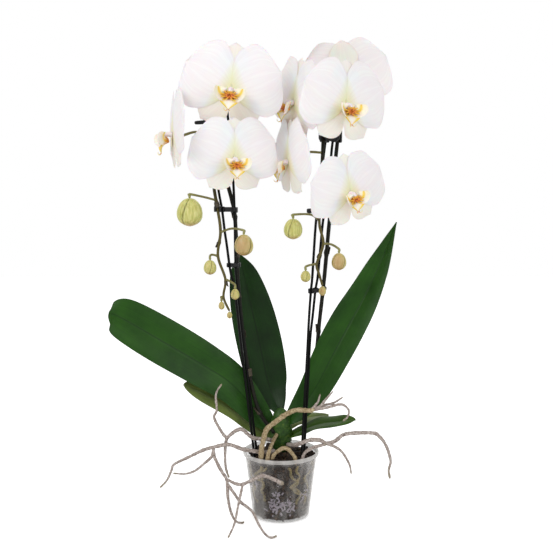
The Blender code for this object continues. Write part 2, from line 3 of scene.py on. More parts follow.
import bmesh
import bpy
import numpy as np
from mathutils import Euler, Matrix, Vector


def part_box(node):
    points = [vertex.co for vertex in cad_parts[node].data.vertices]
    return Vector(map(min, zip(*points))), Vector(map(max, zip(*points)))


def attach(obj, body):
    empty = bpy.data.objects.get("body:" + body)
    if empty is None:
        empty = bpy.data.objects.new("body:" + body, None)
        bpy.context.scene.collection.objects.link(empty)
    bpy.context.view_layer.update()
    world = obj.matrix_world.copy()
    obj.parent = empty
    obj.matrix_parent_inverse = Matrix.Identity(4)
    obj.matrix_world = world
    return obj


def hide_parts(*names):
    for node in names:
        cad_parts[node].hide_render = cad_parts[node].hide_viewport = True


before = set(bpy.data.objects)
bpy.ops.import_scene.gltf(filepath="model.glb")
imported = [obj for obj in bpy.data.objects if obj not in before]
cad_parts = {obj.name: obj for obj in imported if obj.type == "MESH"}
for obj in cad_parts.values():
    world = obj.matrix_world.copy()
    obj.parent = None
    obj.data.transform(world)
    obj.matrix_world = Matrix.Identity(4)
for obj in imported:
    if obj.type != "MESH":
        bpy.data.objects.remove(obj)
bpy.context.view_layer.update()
print("frame: the packed plant is loaded with", len(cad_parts), "nodes")

mm = 0.001


# node tools: they take and give node outputs

def linear(hexColour):
    # sRGB hex to linear RGBA: c / 12.92 below 0.04045, else ((c + 0.055) / 1.055) to the power 2.4
    parts = [int(hexColour[i:i + 2], 16) / 255 for i in (1, 3, 5)]
    return [c / 12.92 if c <= 0.04045 else ((c + 0.055) / 1.055) ** 2.4 for c in parts] + [1.0]


def addNode(tree, kind, settings=(), links=()):
    # one node: settings go to its sockets or its own attributes, links come from outputs
    node = tree.nodes.new("ShaderNode" + kind)
    for key, value in dict(settings).items():
        if isinstance(key, int) or key in node.inputs:
            node.inputs[key].default_value = value
        else:
            setattr(node, key, value)
    for key, output in dict(links).items():
        tree.links.new(output, node.inputs[key])
    return node


def ramp(tree, value, stops):
    # colour ramp from (position, hex) stops
    node = addNode(tree, "ValToRGB", {}, {"Fac": value})
    elements = node.color_ramp.elements
    while len(elements) < len(stops):
        elements.new(0.5)
    for element, (position, colour) in zip(elements, stops):
        element.position = position
        element.color = linear(colour)
    return node.outputs["Color"]


def blend(tree, mode, factor, first, second):
    # colour mix; factor is a number or an output, second is an output or a hex colour
    node = addNode(tree, "Mix", {"data_type": "RGBA", "blend_type": mode}, {6: first})
    if isinstance(factor, float):
        node.inputs[0].default_value = factor
    else:
        tree.links.new(factor, node.inputs[0])
    if isinstance(second, str):
        node.inputs[7].default_value = linear(second)
    else:
        tree.links.new(second, node.inputs[7])
    return node.outputs[2]


def arithmetic(tree, operation, first, second, clamp=False):
    # sum, product or other arithmetic of an output with a second output or a number
    node = addNode(tree, "Math", {"operation": operation, "use_clamp": clamp}, {0: first})
    if isinstance(second, float):
        node.inputs[1].default_value = second
    else:
        tree.links.new(second, node.inputs[1])
    return node.outputs[0]


def mapRange(tree, value, low, high, start, end):
    # low to high becomes start to end
    settings = {"From Min": low, "From Max": high, "To Min": start, "To Max": end}
    return addNode(tree, "MapRange", settings, {"Value": value}).outputs["Result"]


def placeOf(tree):
    # the surface place kept on the mesh: whole, then across, along and its third number
    place = addNode(tree, "Attribute", {"attribute_name": "place"}).outputs["Vector"]
    return (place, *addNode(tree, "SeparateXYZ", {}, {"Vector": place}).outputs)


def noiseOn(tree, vector, stretch, scale, detail=3.0, roughness=0.55):
    # noise whose cells are stretched by a scale in each direction
    mapping = addNode(tree, "Mapping", {"Scale": stretch}, {"Vector": vector})
    return addNode(tree, "TexNoise", {"Scale": scale, "Detail": detail, "Roughness": roughness},
                   {"Vector": mapping.outputs[0]}).outputs["Fac"]


def grainOf(tree, size, detail=3.0, roughness=0.55, upright=1):
    # noise through the object's own space: cells of a size in mm, longer upright below 1
    place = addNode(tree, "TexCoord").outputs["Object"]
    return noiseOn(tree, place, (1, 1, upright), 1 / (size * mm), detail, roughness)


def newMaterial(name, roughness, sockets=()):
    # material with fixed values set on its shader's own sockets
    material = bpy.data.materials.new(name)
    material.use_nodes = True
    shader = material.node_tree.nodes["Principled BSDF"]
    for key, value in {"Roughness": roughness, **dict(sockets)}.items():
        shader.inputs[key].default_value = value
    return material, material.node_tree, shader


def surface(tree, shader, tone, relief, depth, strength):
    # colour, and relief from a height that is depth mm from black to white
    tree.links.new(tone, shader.inputs["Base Color"])
    bump = addNode(tree, "Bump", {"Distance": depth * mm, "Strength": strength}, {"Height": relief})
    tree.links.new(bump.outputs["Normal"], shader.inputs["Normal"])


# shape tools: a shape is its vertices in mm, faces of four corners with -1 for a missing fourth,
# and each vertex's place on the surface

def unit(vectors):
    # vectors of length 1
    return vectors / np.maximum(np.linalg.norm(vectors, axis=-1, keepdims=True), 1e-12)


def around(count):
    # angles of a full turn
    return np.linspace(0, 2 * math.pi, count, endpoint=False)[None, :]


def crowded(count):
    # steps from -1 to 1 that lie closer together at both ends
    return np.sin(np.linspace(-1, 1, count) * math.pi / 2)[None, :]


def squared(value, power):
    # a sine or cosine with its sign kept and its size to a power, which squares a round form off
    return np.sign(value) * np.abs(value) ** power


def polar(reach, angle, z):
    # reach * cos(angle), reach * sin(angle), z
    return np.stack(np.broadcast_arrays(reach * np.cos(angle), reach * np.sin(angle), z), -1)


def curveThrough(points, steps):
    # Catmull-Rom curve: half of (2b + (c-a)t + (2a-5b+4c-d)t2 + (3b-a-3c+d)t3) on each span
    knots = np.asarray(points, float)
    knots = np.vstack([2 * knots[0] - knots[1], knots, 2 * knots[-1] - knots[-2]])
    a, b, c, d = knots[:-3], knots[1:-2], knots[2:-1], knots[3:]
    t = np.linspace(0, 1, steps, endpoint=False)[:, None, None]
    spans = 0.5 * (2 * b + (c - a) * t + (2 * a - 5 * b + 4 * c - d) * t ** 2
                   + (3 * b - a - 3 * c + d) * t ** 3)
    return np.vstack([spans.transpose(1, 0, 2).reshape(-1, knots.shape[1]), knots[-2]])


def valueAt(stations, t):
    # smooth value at t of (position, value) stations
    dense = curveThrough(stations, 12)
    return np.interp(t, np.maximum.accumulate(dense[:, 0]), dense[:, 1])


def columnsAt(at, known, points):
    # points along a path, read at new places
    return np.column_stack([np.interp(at, known, points[:, k]) for k in range(3)])


def evenly(route, spacing):
    # the same path with its points a fixed distance apart, and that distance along it
    lengths = np.concatenate([[0.0], np.cumsum(np.linalg.norm(np.diff(route, axis=0), axis=1))])
    along = np.linspace(0, lengths[-1], max(3, int(lengths[-1] / spacing) + 1))
    return columnsAt(along, lengths, route), along


def ripple(x, waves, seed):
    # smooth noise between about -1 and 1: a mean of sines of rising pitch with random phases
    phases = np.random.default_rng(seed).uniform(0, 2 * math.pi, len(waves))
    return sum(np.sin(x * w + p) for w, p in zip(waves, phases)) / len(waves)


def gridFaces(rows, columns, wrap):
    # four corners of each cell of a grid of vertices, wrap joins its last column to its first
    row = np.arange(rows - 1)[:, None] * columns
    column = np.arange(columns if wrap else columns - 1)[None, :]
    a, b = row + column, row + (column + 1) % columns
    return np.stack([a, b, b + columns, a + columns], -1).reshape(-1, 4)


def closedRings(rings, along=None, extra=0.0):
    # rings of points closed into a tube, with a pole at each end; place is how far round from the
    # back, how far along, and extra
    rows, columns = rings.shape[:2]
    along = np.linspace(0, 1, rows) if along is None else along
    verts = np.vstack([rings.reshape(-1, 3), rings[0].mean(0), rings[-1].mean(0)])
    ring = np.arange(columns)
    after = (ring + 1) % columns
    last = (rows - 1) * columns
    none = np.full(columns, -1)
    start = np.stack([np.full(columns, rows * columns), after, ring, none], -1)
    end = np.stack([np.full(columns, rows * columns + 1), last + ring, last + after, none], -1)
    turn = np.abs(ring / columns * 2 - 1)[None, :]
    place = np.stack(np.broadcast_arrays(turn, along[:, None], extra), -1).reshape(-1, 3)
    ends = [[0.5, along[0], extra], [0.5, along[-1], extra]]
    return verts, np.vstack([gridFaces(rows, columns, True), start, end]), np.vstack([place, ends])


def tubeShape(route, radii, sides=12, extra=0.0):
    # rings of a given radius square to a path; each ring's start is carried from the last, untwisted
    tangent = unit(np.gradient(route, axis=0))
    side = np.empty_like(route)
    side[0] = unit(np.cross(tangent[0], (0.31, 0.87, 0.38)))
    for i in range(1, len(route)):
        side[i] = unit(side[i - 1] - tangent[i] * (side[i - 1] @ tangent[i]))
    up = np.cross(tangent, side)
    angle = around(sides)[..., None]
    radii = np.broadcast_to(np.asarray(radii, float).reshape(len(route), -1), (len(route), sides))
    ring = side[:, None] * np.cos(angle) + up[:, None] * np.sin(angle)
    return closedRings(route[:, None] + ring * radii[:, :, None], extra=extra)


def domed(along, radii, start=True, end=True):
    # radii rounded off over one radius at the ends, as a quarter circle
    radii = np.array(radii, float)
    reach = max(radii.min(), 1e-5)
    for wanted, distance in ((start, along), (end, along[-1] - along)):
        if wanted:
            radii *= np.sqrt(1 - np.clip(1 - distance / reach, 0, 0.97) ** 2)
    return radii


def sheetShape(middle, thickness, s, t):
    # a thick sheet: the middle surface moved half its thickness both ways along its normals, with
    # a strip around the edge; place is across from the middle, along, and 1 on the underside
    rows, columns = middle.shape[:2]
    normal = unit(np.cross(np.gradient(middle, axis=1), np.gradient(middle, axis=0)))
    half = normal * np.broadcast_to(thickness, (rows, columns))[..., None] / 2
    count = rows * columns
    top = gridFaces(rows, columns, False)
    index = np.arange(count).reshape(rows, columns)
    edge = np.concatenate([index[0], index[1:, -1], index[-1, -2::-1], index[-2:0:-1, 0]])
    after = np.roll(edge, -1)
    strip = np.stack([edge, edge + count, after + count, after], -1)
    verts = np.vstack([(middle + half).reshape(-1, 3), (middle - half).reshape(-1, 3)])
    place = np.stack(np.broadcast_arrays(np.abs(s), t, 0.0), -1).reshape(-1, 3)
    return (verts, np.vstack([top, top[:, ::-1] + count, strip]),
            np.vstack([place, place + np.array([0, 0, 1.0])]))


def bladeLine(points, steps, t, facings):
    # middle line at t, with the directions across it and up from it; the facing turns evenly from
    # the first to the second along it
    line = curveThrough(points, steps)
    centre = columnsAt(t, np.linspace(0, 1, len(line)), line)
    along = unit(np.gradient(centre, axis=0))
    first, second = np.asarray(facings, float)
    side = unit(np.cross(along, first * (1 - t[:, None]) + second * t[:, None]))
    return centre[:, None], side[:, None], unit(np.cross(side, along))[:, None]


def ellipsoid(centre, radii, rings, sides, wobble=0.0, seed=0):
    # rounded body: radius sin(theta) and height -cos(theta), each scaled to its own radius
    theta = np.linspace(0.04, math.pi - 0.04, rings)[:, None]
    phi = around(sides)
    swell = 1 + wobble * ripple(theta * 3 + phi, (1, 2), seed) * np.sin(theta)
    return closedRings(polar(np.sin(theta) * swell, phi, -np.cos(theta)) * radii + centre)


def joined(shapes):
    # several shapes as one, the later ones' corner numbers moved on
    starts = np.cumsum([0] + [len(s[0]) for s in shapes[:-1]])
    faces = [np.where(s[1] < 0, -1, s[1] + start) for s, start in zip(shapes, starts)]
    return np.vstack([s[0] for s in shapes]), np.vstack(faces), np.vstack([s[2] for s in shapes])


def linked(name, data):
    # new object in the scene
    thing = bpy.data.objects.new(name, data)
    bpy.context.scene.collection.objects.link(thing)
    return thing


def addPiece(name, shape, material, node, smooth=True):
    # one visible piece: its mesh and the place of each vertex as an attribute; the node it stands in for
    # is hidden
    verts, faces, place = shape
    mesh = bpy.data.meshes.new(name)
    corners = [tuple(f[:3]) if f[3] < 0 else tuple(f) for f in faces.tolist()]
    mesh.from_pydata((verts * mm).tolist(), [], corners)
    layer = mesh.attributes.new("place", "FLOAT_VECTOR", "POINT")
    layer.data.foreach_set("vector", np.ascontiguousarray(place, np.float32).ravel())
    mesh.polygons.foreach_set("use_smooth", [smooth] * len(mesh.polygons))
    mesh.materials.append(material)
    mesh.update()
    piece = linked(name, mesh)
    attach(piece, "root")
    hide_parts(node)
    return piece


def petalTissue(name, throat, body, edge, blush):
    # thin living petal: soft sheen, light passing through, faint veins from the throat outwards
    material, tree, shader = newMaterial(name, 0.55, {
        "Subsurface Weight": 0.25, "Subsurface Scale": 0.0025, "Specular IOR Level": 0.3,
        "Sheen Weight": 0.08, "IOR": 1.38})
    place, across, along, _ = placeOf(tree)
    tone = ramp(tree, along, [(0.0, throat), (0.1, throat), (0.3, body), (0.8, body), (1.0, edge)])
    side = arithmetic(tree, "POWER", across, 4.0)
    flush = ramp(tree, side, [(0.0, "#FFFFFF"), (0.55, "#FFFFFF"), (1.0, blush)])
    tone = blend(tree, "MULTIPLY", 1.0, tone, flush)
    veins = noiseOn(tree, place, (14.0, 1.1, 0.0), 1.0, 2.0)
    veinTone = ramp(tree, veins, [(0.40, "#FFFFFF"), (0.56, "#F5EEF2"), (0.72, "#FFFFFF")])
    surface(tree, shader, blend(tree, "MULTIPLY", 0.35, tone, veinTone), veins, 0.4, 0.2)
    return material


def leafBlade(name, dark, mid, grooveShade, roughness):
    # waxy leaf: mottled green, painted shade as a darker line along the midrib groove, fine lines, a soft
    # wax gloss
    material, tree, shader = newMaterial(name, roughness, {
        "Coat Weight": 0.06, "Coat Roughness": 0.3, "IOR": 1.45, "Specular IOR Level": 0.14})
    place, across, _, _ = placeOf(tree)
    tone = ramp(tree, grainOf(tree, 45), [(0.25, dark), (0.75, mid)])
    lines = noiseOn(tree, place, (60.0, 1.5, 0.0), 1.0, 2.0)
    lineTone = ramp(tree, lines, [(0.4, "#C4C8BC"), (0.6, "#FFFFFF")])
    tone = blend(tree, "MULTIPLY", 0.5, tone, lineTone)
    # painted shade: the middle of the blade, along the midrib's crease, turns to a darker green that
    # stands in for the shade falling in it
    grooveShadeMask = ramp(tree, across, [(0.0, "#FFFFFF"), (0.018, "#B0B0B0"), (0.05, "#000000")])
    surface(tree, shader, blend(tree, "MIX", grooveShadeMask, tone, grooveShade), lines, 0.6, 0.35)
    return material


def mottled(name, roughness, grain, relief, stops, sockets=(), endTone=None):
    # natural skin whose colour and relief follow one noise, grain and relief in mm; endTone turns
    # it to another colour between two places along it
    material, tree, shader = newMaterial(name, roughness, sockets)
    noise = grainOf(tree, grain, 5.0, 0.65)
    tone = ramp(tree, noise, stops)
    if endTone:
        start, full, colour = endTone
        mask = ramp(tree, placeOf(tree)[2], [(start, "#000000"), (full, "#DADADA")])
        tone = blend(tree, "MIX", mask, tone, colour)
    surface(tree, shader, tone, noise, relief, 0.6)
    return material


def budTissue():
    # waxy bud: yellow-green, darker in its seams, flushed pink-brown on one side and at its tip
    material, tree, shader = newMaterial("budGreenFlushed", 0.42, {
        "Subsurface Weight": 0.1, "Subsurface Scale": 0.002, "Specular IOR Level": 0.3})
    _, seams, along, flush = placeOf(tree)
    noise = grainOf(tree, 3, 4.0, upright=0.16)
    skin = ramp(tree, noise, [(0.3, "#B2B45A"), (0.5, "#CFCF7C"), (0.7, "#E4E29C")])
    side = ramp(tree, flush, [(0.15, "#000000"), (0.5, "#8A8A8A"), (0.85, "#D8D8D8")])
    tone = blend(tree, "MIX", side, skin, "#B58268")
    tip = ramp(tree, along, [(0.7, "#FFFFFF"), (1.0, "#DDA890")])
    tone = blend(tree, "MULTIPLY", 1.0, tone, tip)
    seam = ramp(tree, seams, [(0.25, "#FFFFFF"), (0.9, "#8A8A4A")])
    surface(tree, shader, blend(tree, "MULTIPLY", 0.9, tone, seam), noise, 0.3, 0.4)
    return material


def calloused():
    # waxy raised callus: orange with dark red freckles; its teeth, marked by the third number of
    # place, turn yellow towards their ends
    material, tree, shader = newMaterial("callusYellowFreckled", 0.4, {
        "Subsurface Weight": 0.1, "Subsurface Scale": 0.001})
    spots = grainOf(tree, 1.6, 1.0)
    tone = ramp(tree, spots, [(0.0, "#EFAE3C"), (0.5, "#E58A2A"), (0.57, "#B8441C"),
                              (0.66, "#96301A"), (1.0, "#8A2A18")])
    _, _, along, tooth = placeOf(tree)
    mask = ramp(tree, arithmetic(tree, "MULTIPLY", along, tooth), [(0.3, "#000000"), (0.75, "#F0F0F0")])
    surface(tree, shader, blend(tree, "MIX", mask, tone, "#F2C63C"), spots, 0.4, 0.4)
    return material


def lipTissue(name, acrossStops, alongStops):
    # lip tissue: one tint along it and one across it, with fine red-brown streaks at its base
    material, tree, shader = newMaterial(name, 0.45, {
        "Subsurface Weight": 0.2, "Subsurface Scale": 0.0015, "IOR": 1.4, "Specular IOR Level": 0.35})
    place, across, along, _ = placeOf(tree)
    tone = blend(tree, "MULTIPLY", 1.0, ramp(tree, across, acrossStops), ramp(tree, along, alongStops))
    streaks = noiseOn(tree, place, (9.0, 0.9, 0.0), 1.0, 1.0)
    near = ramp(tree, along, [(0.18, "#FFFFFF"), (0.5, "#000000")])
    streakTone = ramp(tree, streaks, [(0.50, "#FFFFFF"), (0.58, "#B4562A"), (0.66, "#FFFFFF")])
    surface(tree, shader, blend(tree, "MULTIPLY", near, tone, streakTone), streaks, 0.3, 0.3)
    return material


def cloudyPlastic():
    # thermoformed clear polypropylene: clear from the front, milky where it is seen along its wall
    # and in its thick rolled rim, with a little water haze
    material, tree, shader = newMaterial("clearPolypropylene", 0.25, {
        "IOR": 1.49, "Specular IOR Level": 0.4})
    haze = grainOf(tree, 12, 4.0, upright=0.35)
    cloud = mapRange(tree, haze, 0.42, 0.75, 0.02, 0.14)
    facing = addNode(tree, "LayerWeight", {"Blend": 0.28}).outputs["Facing"]
    milk = mapRange(tree, facing, 0.1, 0.9, 0.0, 0.6)
    place = addNode(tree, "TexCoord").outputs["Object"]
    height = addNode(tree, "SeparateXYZ", {}, {"Vector": place}).outputs["Z"]
    rim = mapRange(tree, height, 0.0975, 0.0990, 0.0, 0.42)
    opacity = arithmetic(tree, "ADD", arithmetic(tree, "ADD", cloud, milk), rim, True)
    tree.links.new(opacity, shader.inputs["Alpha"])
    surface(tree, shader, ramp(tree, haze, [(0.3, "#C6C2BE"), (0.7, "#E9E7E4")]), haze, 0.4, 0.2)
    return material


# clean white petals, cream at the throat and faintly pink at the edge
white = petalTissue("orchidPetalWhite", "#F3EFC8", "#FBF7F8", "#FBF5F7", "#FDF6F8")
# sepals of a warmer white, greenish at the base
sepalWhite = petalTissue("orchidSepalWhite", "#EAEAC0", "#FAF6EC", "#FAF3EE", "#FCF2F4")
# lip wings: white with a yellow streak down the middle, orange at the base
wingSkin = lipTissue("lipWingWhiteYellowStreak",
                     [(0.0, "#F5D048"), (0.16, "#F8E08A"), (0.36, "#FBF6E2"), (1.0, "#FCF8F4")],
                     [(0.0, "#E8883A"), (0.22, "#F6D2A4"), (0.45, "#FFFFFF"), (1.0, "#FFFBEE")])
# middle lobe: white with yellow points, orange at the base
middleLobeSkin = lipTissue("lipMiddleWhiteYellowTips",
                           [(0.0, "#FBF5F0"), (0.45, "#FAF2DC"), (0.75, "#F3DA68"), (1.0, "#E9CE3A")],
                           [(0.0, "#E07A2C"), (0.22, "#F2BE84"), (0.45, "#FFFFFF"), (1.0, "#FFFFFF")])
callusSkin = calloused()
# translucent waxy column with a breath of pink
columnSkin = mottled("columnWaxyWhite", 0.4, 3, 0.1, [(0.3, "#F6F0F2"), (0.8, "#EBD8E2")],
                     {"Subsurface Weight": 0.2, "Subsurface Scale": 0.0015})
# four leaf greens: full-grown, a darker copy of it with painted shade for the centre leaf that stands in
# shade, young, and olive
# the third green of each leaf is the painted shade in its midrib groove
leafGreen = leafBlade("leafDarkWaxyGreen", "#173A0B", "#2A5614", "#123009", 0.34)
leafPaintedShade = leafBlade("leafShadedWaxyGreen", "#0B2306", "#173A0D", "#081B04", 0.34)
leafYoung = leafBlade("leafYoungWaxyGreen", "#22420F", "#4A6A20", "#2A4A12", 0.38)
leafOlive = leafBlade("leafOliveYoung", "#55662E", "#7D8C48", "#5E7032", 0.4)
# spike stem: nearly black, brown-green in patches, olive towards its young end
spikeSkin = mottled("spikeGreenBrown", 0.42, 2.5, 0.2,
                    [(0.3, "#0B0A07"), (0.55, "#16160D"), (0.78, "#2E2C18")],
                    {"Specular IOR Level": 0.15}, (0.76, 0.84, "#6A6034"))
# dry brown scales at the joints
bractSkin = mottled("bractPaperyBrown", 0.6, 3, 0.3,
                    [(0.3, "#1E1810"), (0.6, "#3C321F"), (0.8, "#5E5234")])
# olive flower stalks that turn pale green
pedicelSkin = mottled("pedicelOlive", 0.45, 2.5, 0.2, [(0.3, "#554E24"), (0.7, "#857F40")], {},
                      (0.6, 1.0, "#A8A868"))
budSkin = budTissue()
# dry silver-grey root cover, pitted, olive at its growing tip
rootSkin = mottled("rootVelamenDry", 0.85, 2.6, 0.8,
                   [(0.3, "#5F524C"), (0.46, "#9F9189"), (0.70, "#D6CCC5")],
                   {"Specular IOR Level": 0.25}, (0.9, 1.0, "#8F8466"))
# older tan root cover with dark cracks
rootTan = mottled("rootVelamenTan", 0.8, 2.6, 0.8,
                  [(0.30, "#4F3F2B"), (0.42, "#968060"), (0.72, "#CFC09C")],
                  {"Specular IOR Level": 0.25})
# satin black coat of the wire
wireCoat = mottled("wirePvcCoatBlack", 0.4, 4, 0.05, [(0.3, "#020302"), (0.7, "#080908")],
                   {"Specular IOR Level": 0.1})
# moulded black nylon with a fine orange-peel gloss
clipPlastic = mottled("clipMouldedNylonBlack", 0.38, 1.2, 0.08, [(0.3, "#0C0C0E"), (0.7, "#17171A")],
                      {"Specular IOR Level": 0.3})
# green sheaths of the crown, yellower in patches
crownSkin = mottled("crownSheathGreen", 0.45, 6, 0.3,
                    [(0.3, "#1B3410"), (0.55, "#33541E"), (0.75, "#5C6E2E")],
                    {"Specular IOR Level": 0.2})
# damp bark: dark with red-brown and tan faces
barkChip = mottled("pineBarkMoist", 0.8, 5, 1.2,
                   [(0.3, "#0E0A08"), (0.5, "#221913"), (0.64, "#4E3B2B"), (0.78, "#7A6148")],
                   {"Specular IOR Level": 0.25})
# pale grey moss and perlite
mossTuft = mottled("driedMossPale", 0.95, 1.5, 1.0,
                   [(0.3, "#6A6470"), (0.55, "#A69CA6"), (0.75, "#D2CAD2")])
# green-tan roots behind the pot's wall
rootInner = mottled("rootInsidePotGreenTan", 0.7, 3, 0.4,
                    [(0.3, "#565030"), (0.55, "#857444"), (0.8, "#B3A276")])
potPlastic = cloudyPlastic()
print("materials: done")


tepalKinds = {
    # half widths, edge ruffle, groove depth and distance in front of or behind the flower's level,
    # all in mm, then rows and columns of the mesh, and for each tepal its angle from +X
    # anticlockwise seen from the front, its length in mm and the seed of its ruffles
    "sepal": {"widths": [(0.0, 5.0), (0.25, 15.5), (0.6, 25.0), (0.85, 19.0), (1.0, 10.0)],
              "ruffle": 1.6, "groove": 0.5, "level": 0.9, "steps": (22, 15), "skin": sepalWhite,
              "each": {"top": (90, 70, 4), "lowRight": (-48, 61, 1), "lowLeft": (228, 61, 2)}},
    "petal": {"widths": [(0.0, 6.0), (0.15, 29.0), (0.35, 47.0), (0.6, 54.0), (0.85, 46.0),
                         (1.0, 28.0)],
              "ruffle": 2.4, "groove": 0.35, "level": -0.9, "steps": (30, 25), "skin": white,
              "each": {"right": (26, 79, 5), "left": (154, 79, 6)}},
}

flowerShape = {
    "arch": 0.0012,            # backward curve, mm per square mm from the hub
    "thickness": 1.1,
    # callus teeth: direction and length
    "teeth": [(-16, 13), (8, 14), (36, 11), (64, 8.5), (90, 7.5), (116, 8.5), (144, 11), (172, 14),
              (196, 13), (236, 9), (304, 9)],
}

flowerPlaces = {
    # hub in mm, then yaw, nod and roll in degrees, then scale
    "left_top": ((-74, -50, 661), 0, 2, 7, 1.0),
    "left_side": ((-161, -34, 597), -76, 0, -2, 0.97),
    "left_low": ((-69, -60, 560), 18, 4, 0, 0.89),
    "right_top": ((93, -70, 637), 30, 3, 2, 0.96),
    "right_back": ((100, 20, 680), 180, -4, 8, 0.92),
    "right_side": ((19, -12, 646), -62, 0, 12, 0.96),
    "right_middle": ((11, -14, 557), -70, 3, 2, 0.94),
    "right_low": ((101, -65, 510), 30, 5, -12, 0.86),
}


def tepalShape(kind, angle, length, seed):
    # point = t * length along the tepal's line plus s * half width square to it, set back by
    # arch * distance squared, with an edge ruffle growing as s cubed and a groove along the middle
    rows, columns = kind["steps"]
    t = np.sin(np.linspace(0.02, 1, rows) * math.pi / 2)[:, None]
    s = crowded(columns)
    outline = valueAt(kind["widths"], t) * np.sqrt(np.clip(1 - t ** 12, 0.012, 1))
    outline = outline * (1 + 0.03 * ripple(t * 9 + np.sign(s) * 2, (1.0, 1.7), seed))
    a = math.radians(angle)
    reach = length * t * (1 - 0.03 * s ** 2)
    x = np.cos(a) * reach - np.sin(a) * s * outline
    z = np.sin(a) * reach + np.cos(a) * s * outline
    edgeWave = np.abs(s) ** 3 * t * ripple(t * 7 + s * 2.2, (1.0, 1.9), seed + 20)
    endWave = 0.5 * t ** 3 * ripple(s * 2.6 + t, (1.0, 1.6), seed + 40)
    groove = kind["groove"] * np.exp(-(s / 0.09) ** 2) * (1 - t * 0.6)
    belly = -0.9 * np.sin(math.pi * t) * (1 - s ** 2)
    y = (flowerShape["arch"] * (x ** 2 + z ** 2) + kind["level"]
         + kind["ruffle"] * (edgeWave + endWave) + groove + belly)
    thick = flowerShape["thickness"] * (1 - 0.6 * np.abs(s) ** 3) * (1 - 0.4 * t ** 4)
    return sheetShape(np.stack([x, y, z], -1), thick, s, t)


def bladeOn(points, widths, facings, cup, rows=16, columns=13, roll=0.0):
    # small blade 1 mm thick along a curve: half width square to the curve, edges lifted by
    # cup * s squared and roll * s to the fourth
    t = np.linspace(0, 1, rows)
    centre, side, up = bladeLine(points, 8, t, facings)
    s = crowded(columns)
    lift = (cup * s ** 2 + roll * s ** 4)[..., None]
    half = valueAt(widths, t)[:, None, None]
    middle = centre + side * half * s[..., None] + up * half * lift
    return sheetShape(middle, 1 - 0.5 * np.abs(s) ** 3, s, t[:, None])


def taperedTube(points, steps, spacing, first, last, extra):
    # thin round-ended tube whose radius falls evenly
    line, run = evenly(curveThrough(points, steps), spacing)
    return tubeShape(line, domed(run, np.linspace(first, last, len(run))), 8, extra)


def lipPieces():
    # column with its cap, callus with its teeth, anchor-shaped middle lobe with two tendrils, and
    # an upright wing on each side
    column, along = evenly(curveThrough([(0, -1.8, 1), (0, -8, 1.6), (0, -14, -0.6)], 8), 1.0)
    hood = np.interp(along, [0, along[-1] * 0.55, along[-1]], [4.4, 3.6, 4.4])
    cap = ellipsoid((0, -14.4, -1.4), (3.9, 3.1, 3.2), 12, 16)
    pollen = [ellipsoid((x, -16.6, -3.0), (1.1, 1.0, 1.3), 8, 10) for x in (-1.3, 1.3)]
    bumps = [ellipsoid((x, -11.2, -7.0), (3.3, 3.8, 3.1), 12, 16, 0.1, 3) for x in (-2.6, 2.6)]
    ridge = ellipsoid((0, -11, -9.4), (5.6, 5.0, 3.0), 10, 18, 0.08, 5)
    teeth = []
    for turn, length in flowerShape["teeth"]:
        turn = math.radians(turn)
        reach = [(math.cos(turn) * r, -13.5 - 0.6 * r, -8.0 + math.sin(turn) * r * 0.9)
                 for r in (2.5, length * 0.6, length)]
        teeth.append(taperedTube(reach, 6, 0.7, 2.0, 0.7, 1.0))
    middle = bladeOn([(0, -9, -9), (0, -14, -14), (0, -18, -20), (0, -19, -28)],
                     [(0.0, 4.5), (0.25, 5.5), (0.45, 9.5), (0.6, 13.0), (0.72, 9.5), (0.88, 4.0),
                      (1.0, 0.9)], [(0, -1, 0.4), (0, -1, 0)], 0.3, 20, 15)
    tendrils, wings = [], []
    for side in (-1, 1):
        curl = [(side * 0.7, -19, -27), (side * 2.4, -21, -30), (side * 5.2, -23, -29),
                (side * 5.8, -24, -26)]
        tendrils.append(taperedTube(curl, 8, 0.6, 0.75, 0.35, 0.0))
        wings.append(bladeOn([(side * 3, -8, -9), (side * 9.5, -14.5, -8.5), (side * 15.5, -17.5, -4),
                              (side * 18, -15.5, 3.5)],
                             [(0.0, 4.0), (0.35, 9.0), (0.7, 11.0), (0.9, 8.5), (1.0, 5.0)],
                             [(0, -1, 0.2), (-side * 0.8, -1, 0)], 0.36, roll=0.12))
    return {
        "column": (joined([tubeShape(column, domed(along, hood, start=False), 16), cap]), columnSkin),
        "pollenCap": (joined(pollen), callusSkin),
        "callus": (joined(bumps + [ridge] + teeth), callusSkin),
        "middleLobe": (joined([middle] + tendrils), middleLobeSkin),
        "wingLeft": (wings[0], wingSkin),
        "wingRight": (wings[1], wingSkin),
    }


def placedFlower(shape, hub, yaw, nod, roll, scale):
    # a flower's piece at its hub: scaled, turned, then moved
    turn = np.array(Euler([math.radians(a) for a in (nod, roll, yaw)], "YXZ").to_matrix())
    return shape[0] * scale @ turn.T + hub, shape[1], shape[2]


def addFlowers():
    lip = lipPieces()
    for number, (name, pose) in enumerate(flowerPlaces.items()):
        flower = f"flower_{name}_"
        for label, kind in tepalKinds.items():
            for which, (angle, length, seed) in kind["each"].items():
                shape = tepalShape(kind, angle, length, seed + 7 * number)
                addPiece(f"{flower}{label}_{which}", placedFlower(shape, *pose), kind["skin"],
                         flower + label + "s")
        for which, (shape, material) in lip.items():
            addPiece(flower + which, placedFlower(shape, *pose), material, flower + "lip")
    print("flowers: done")


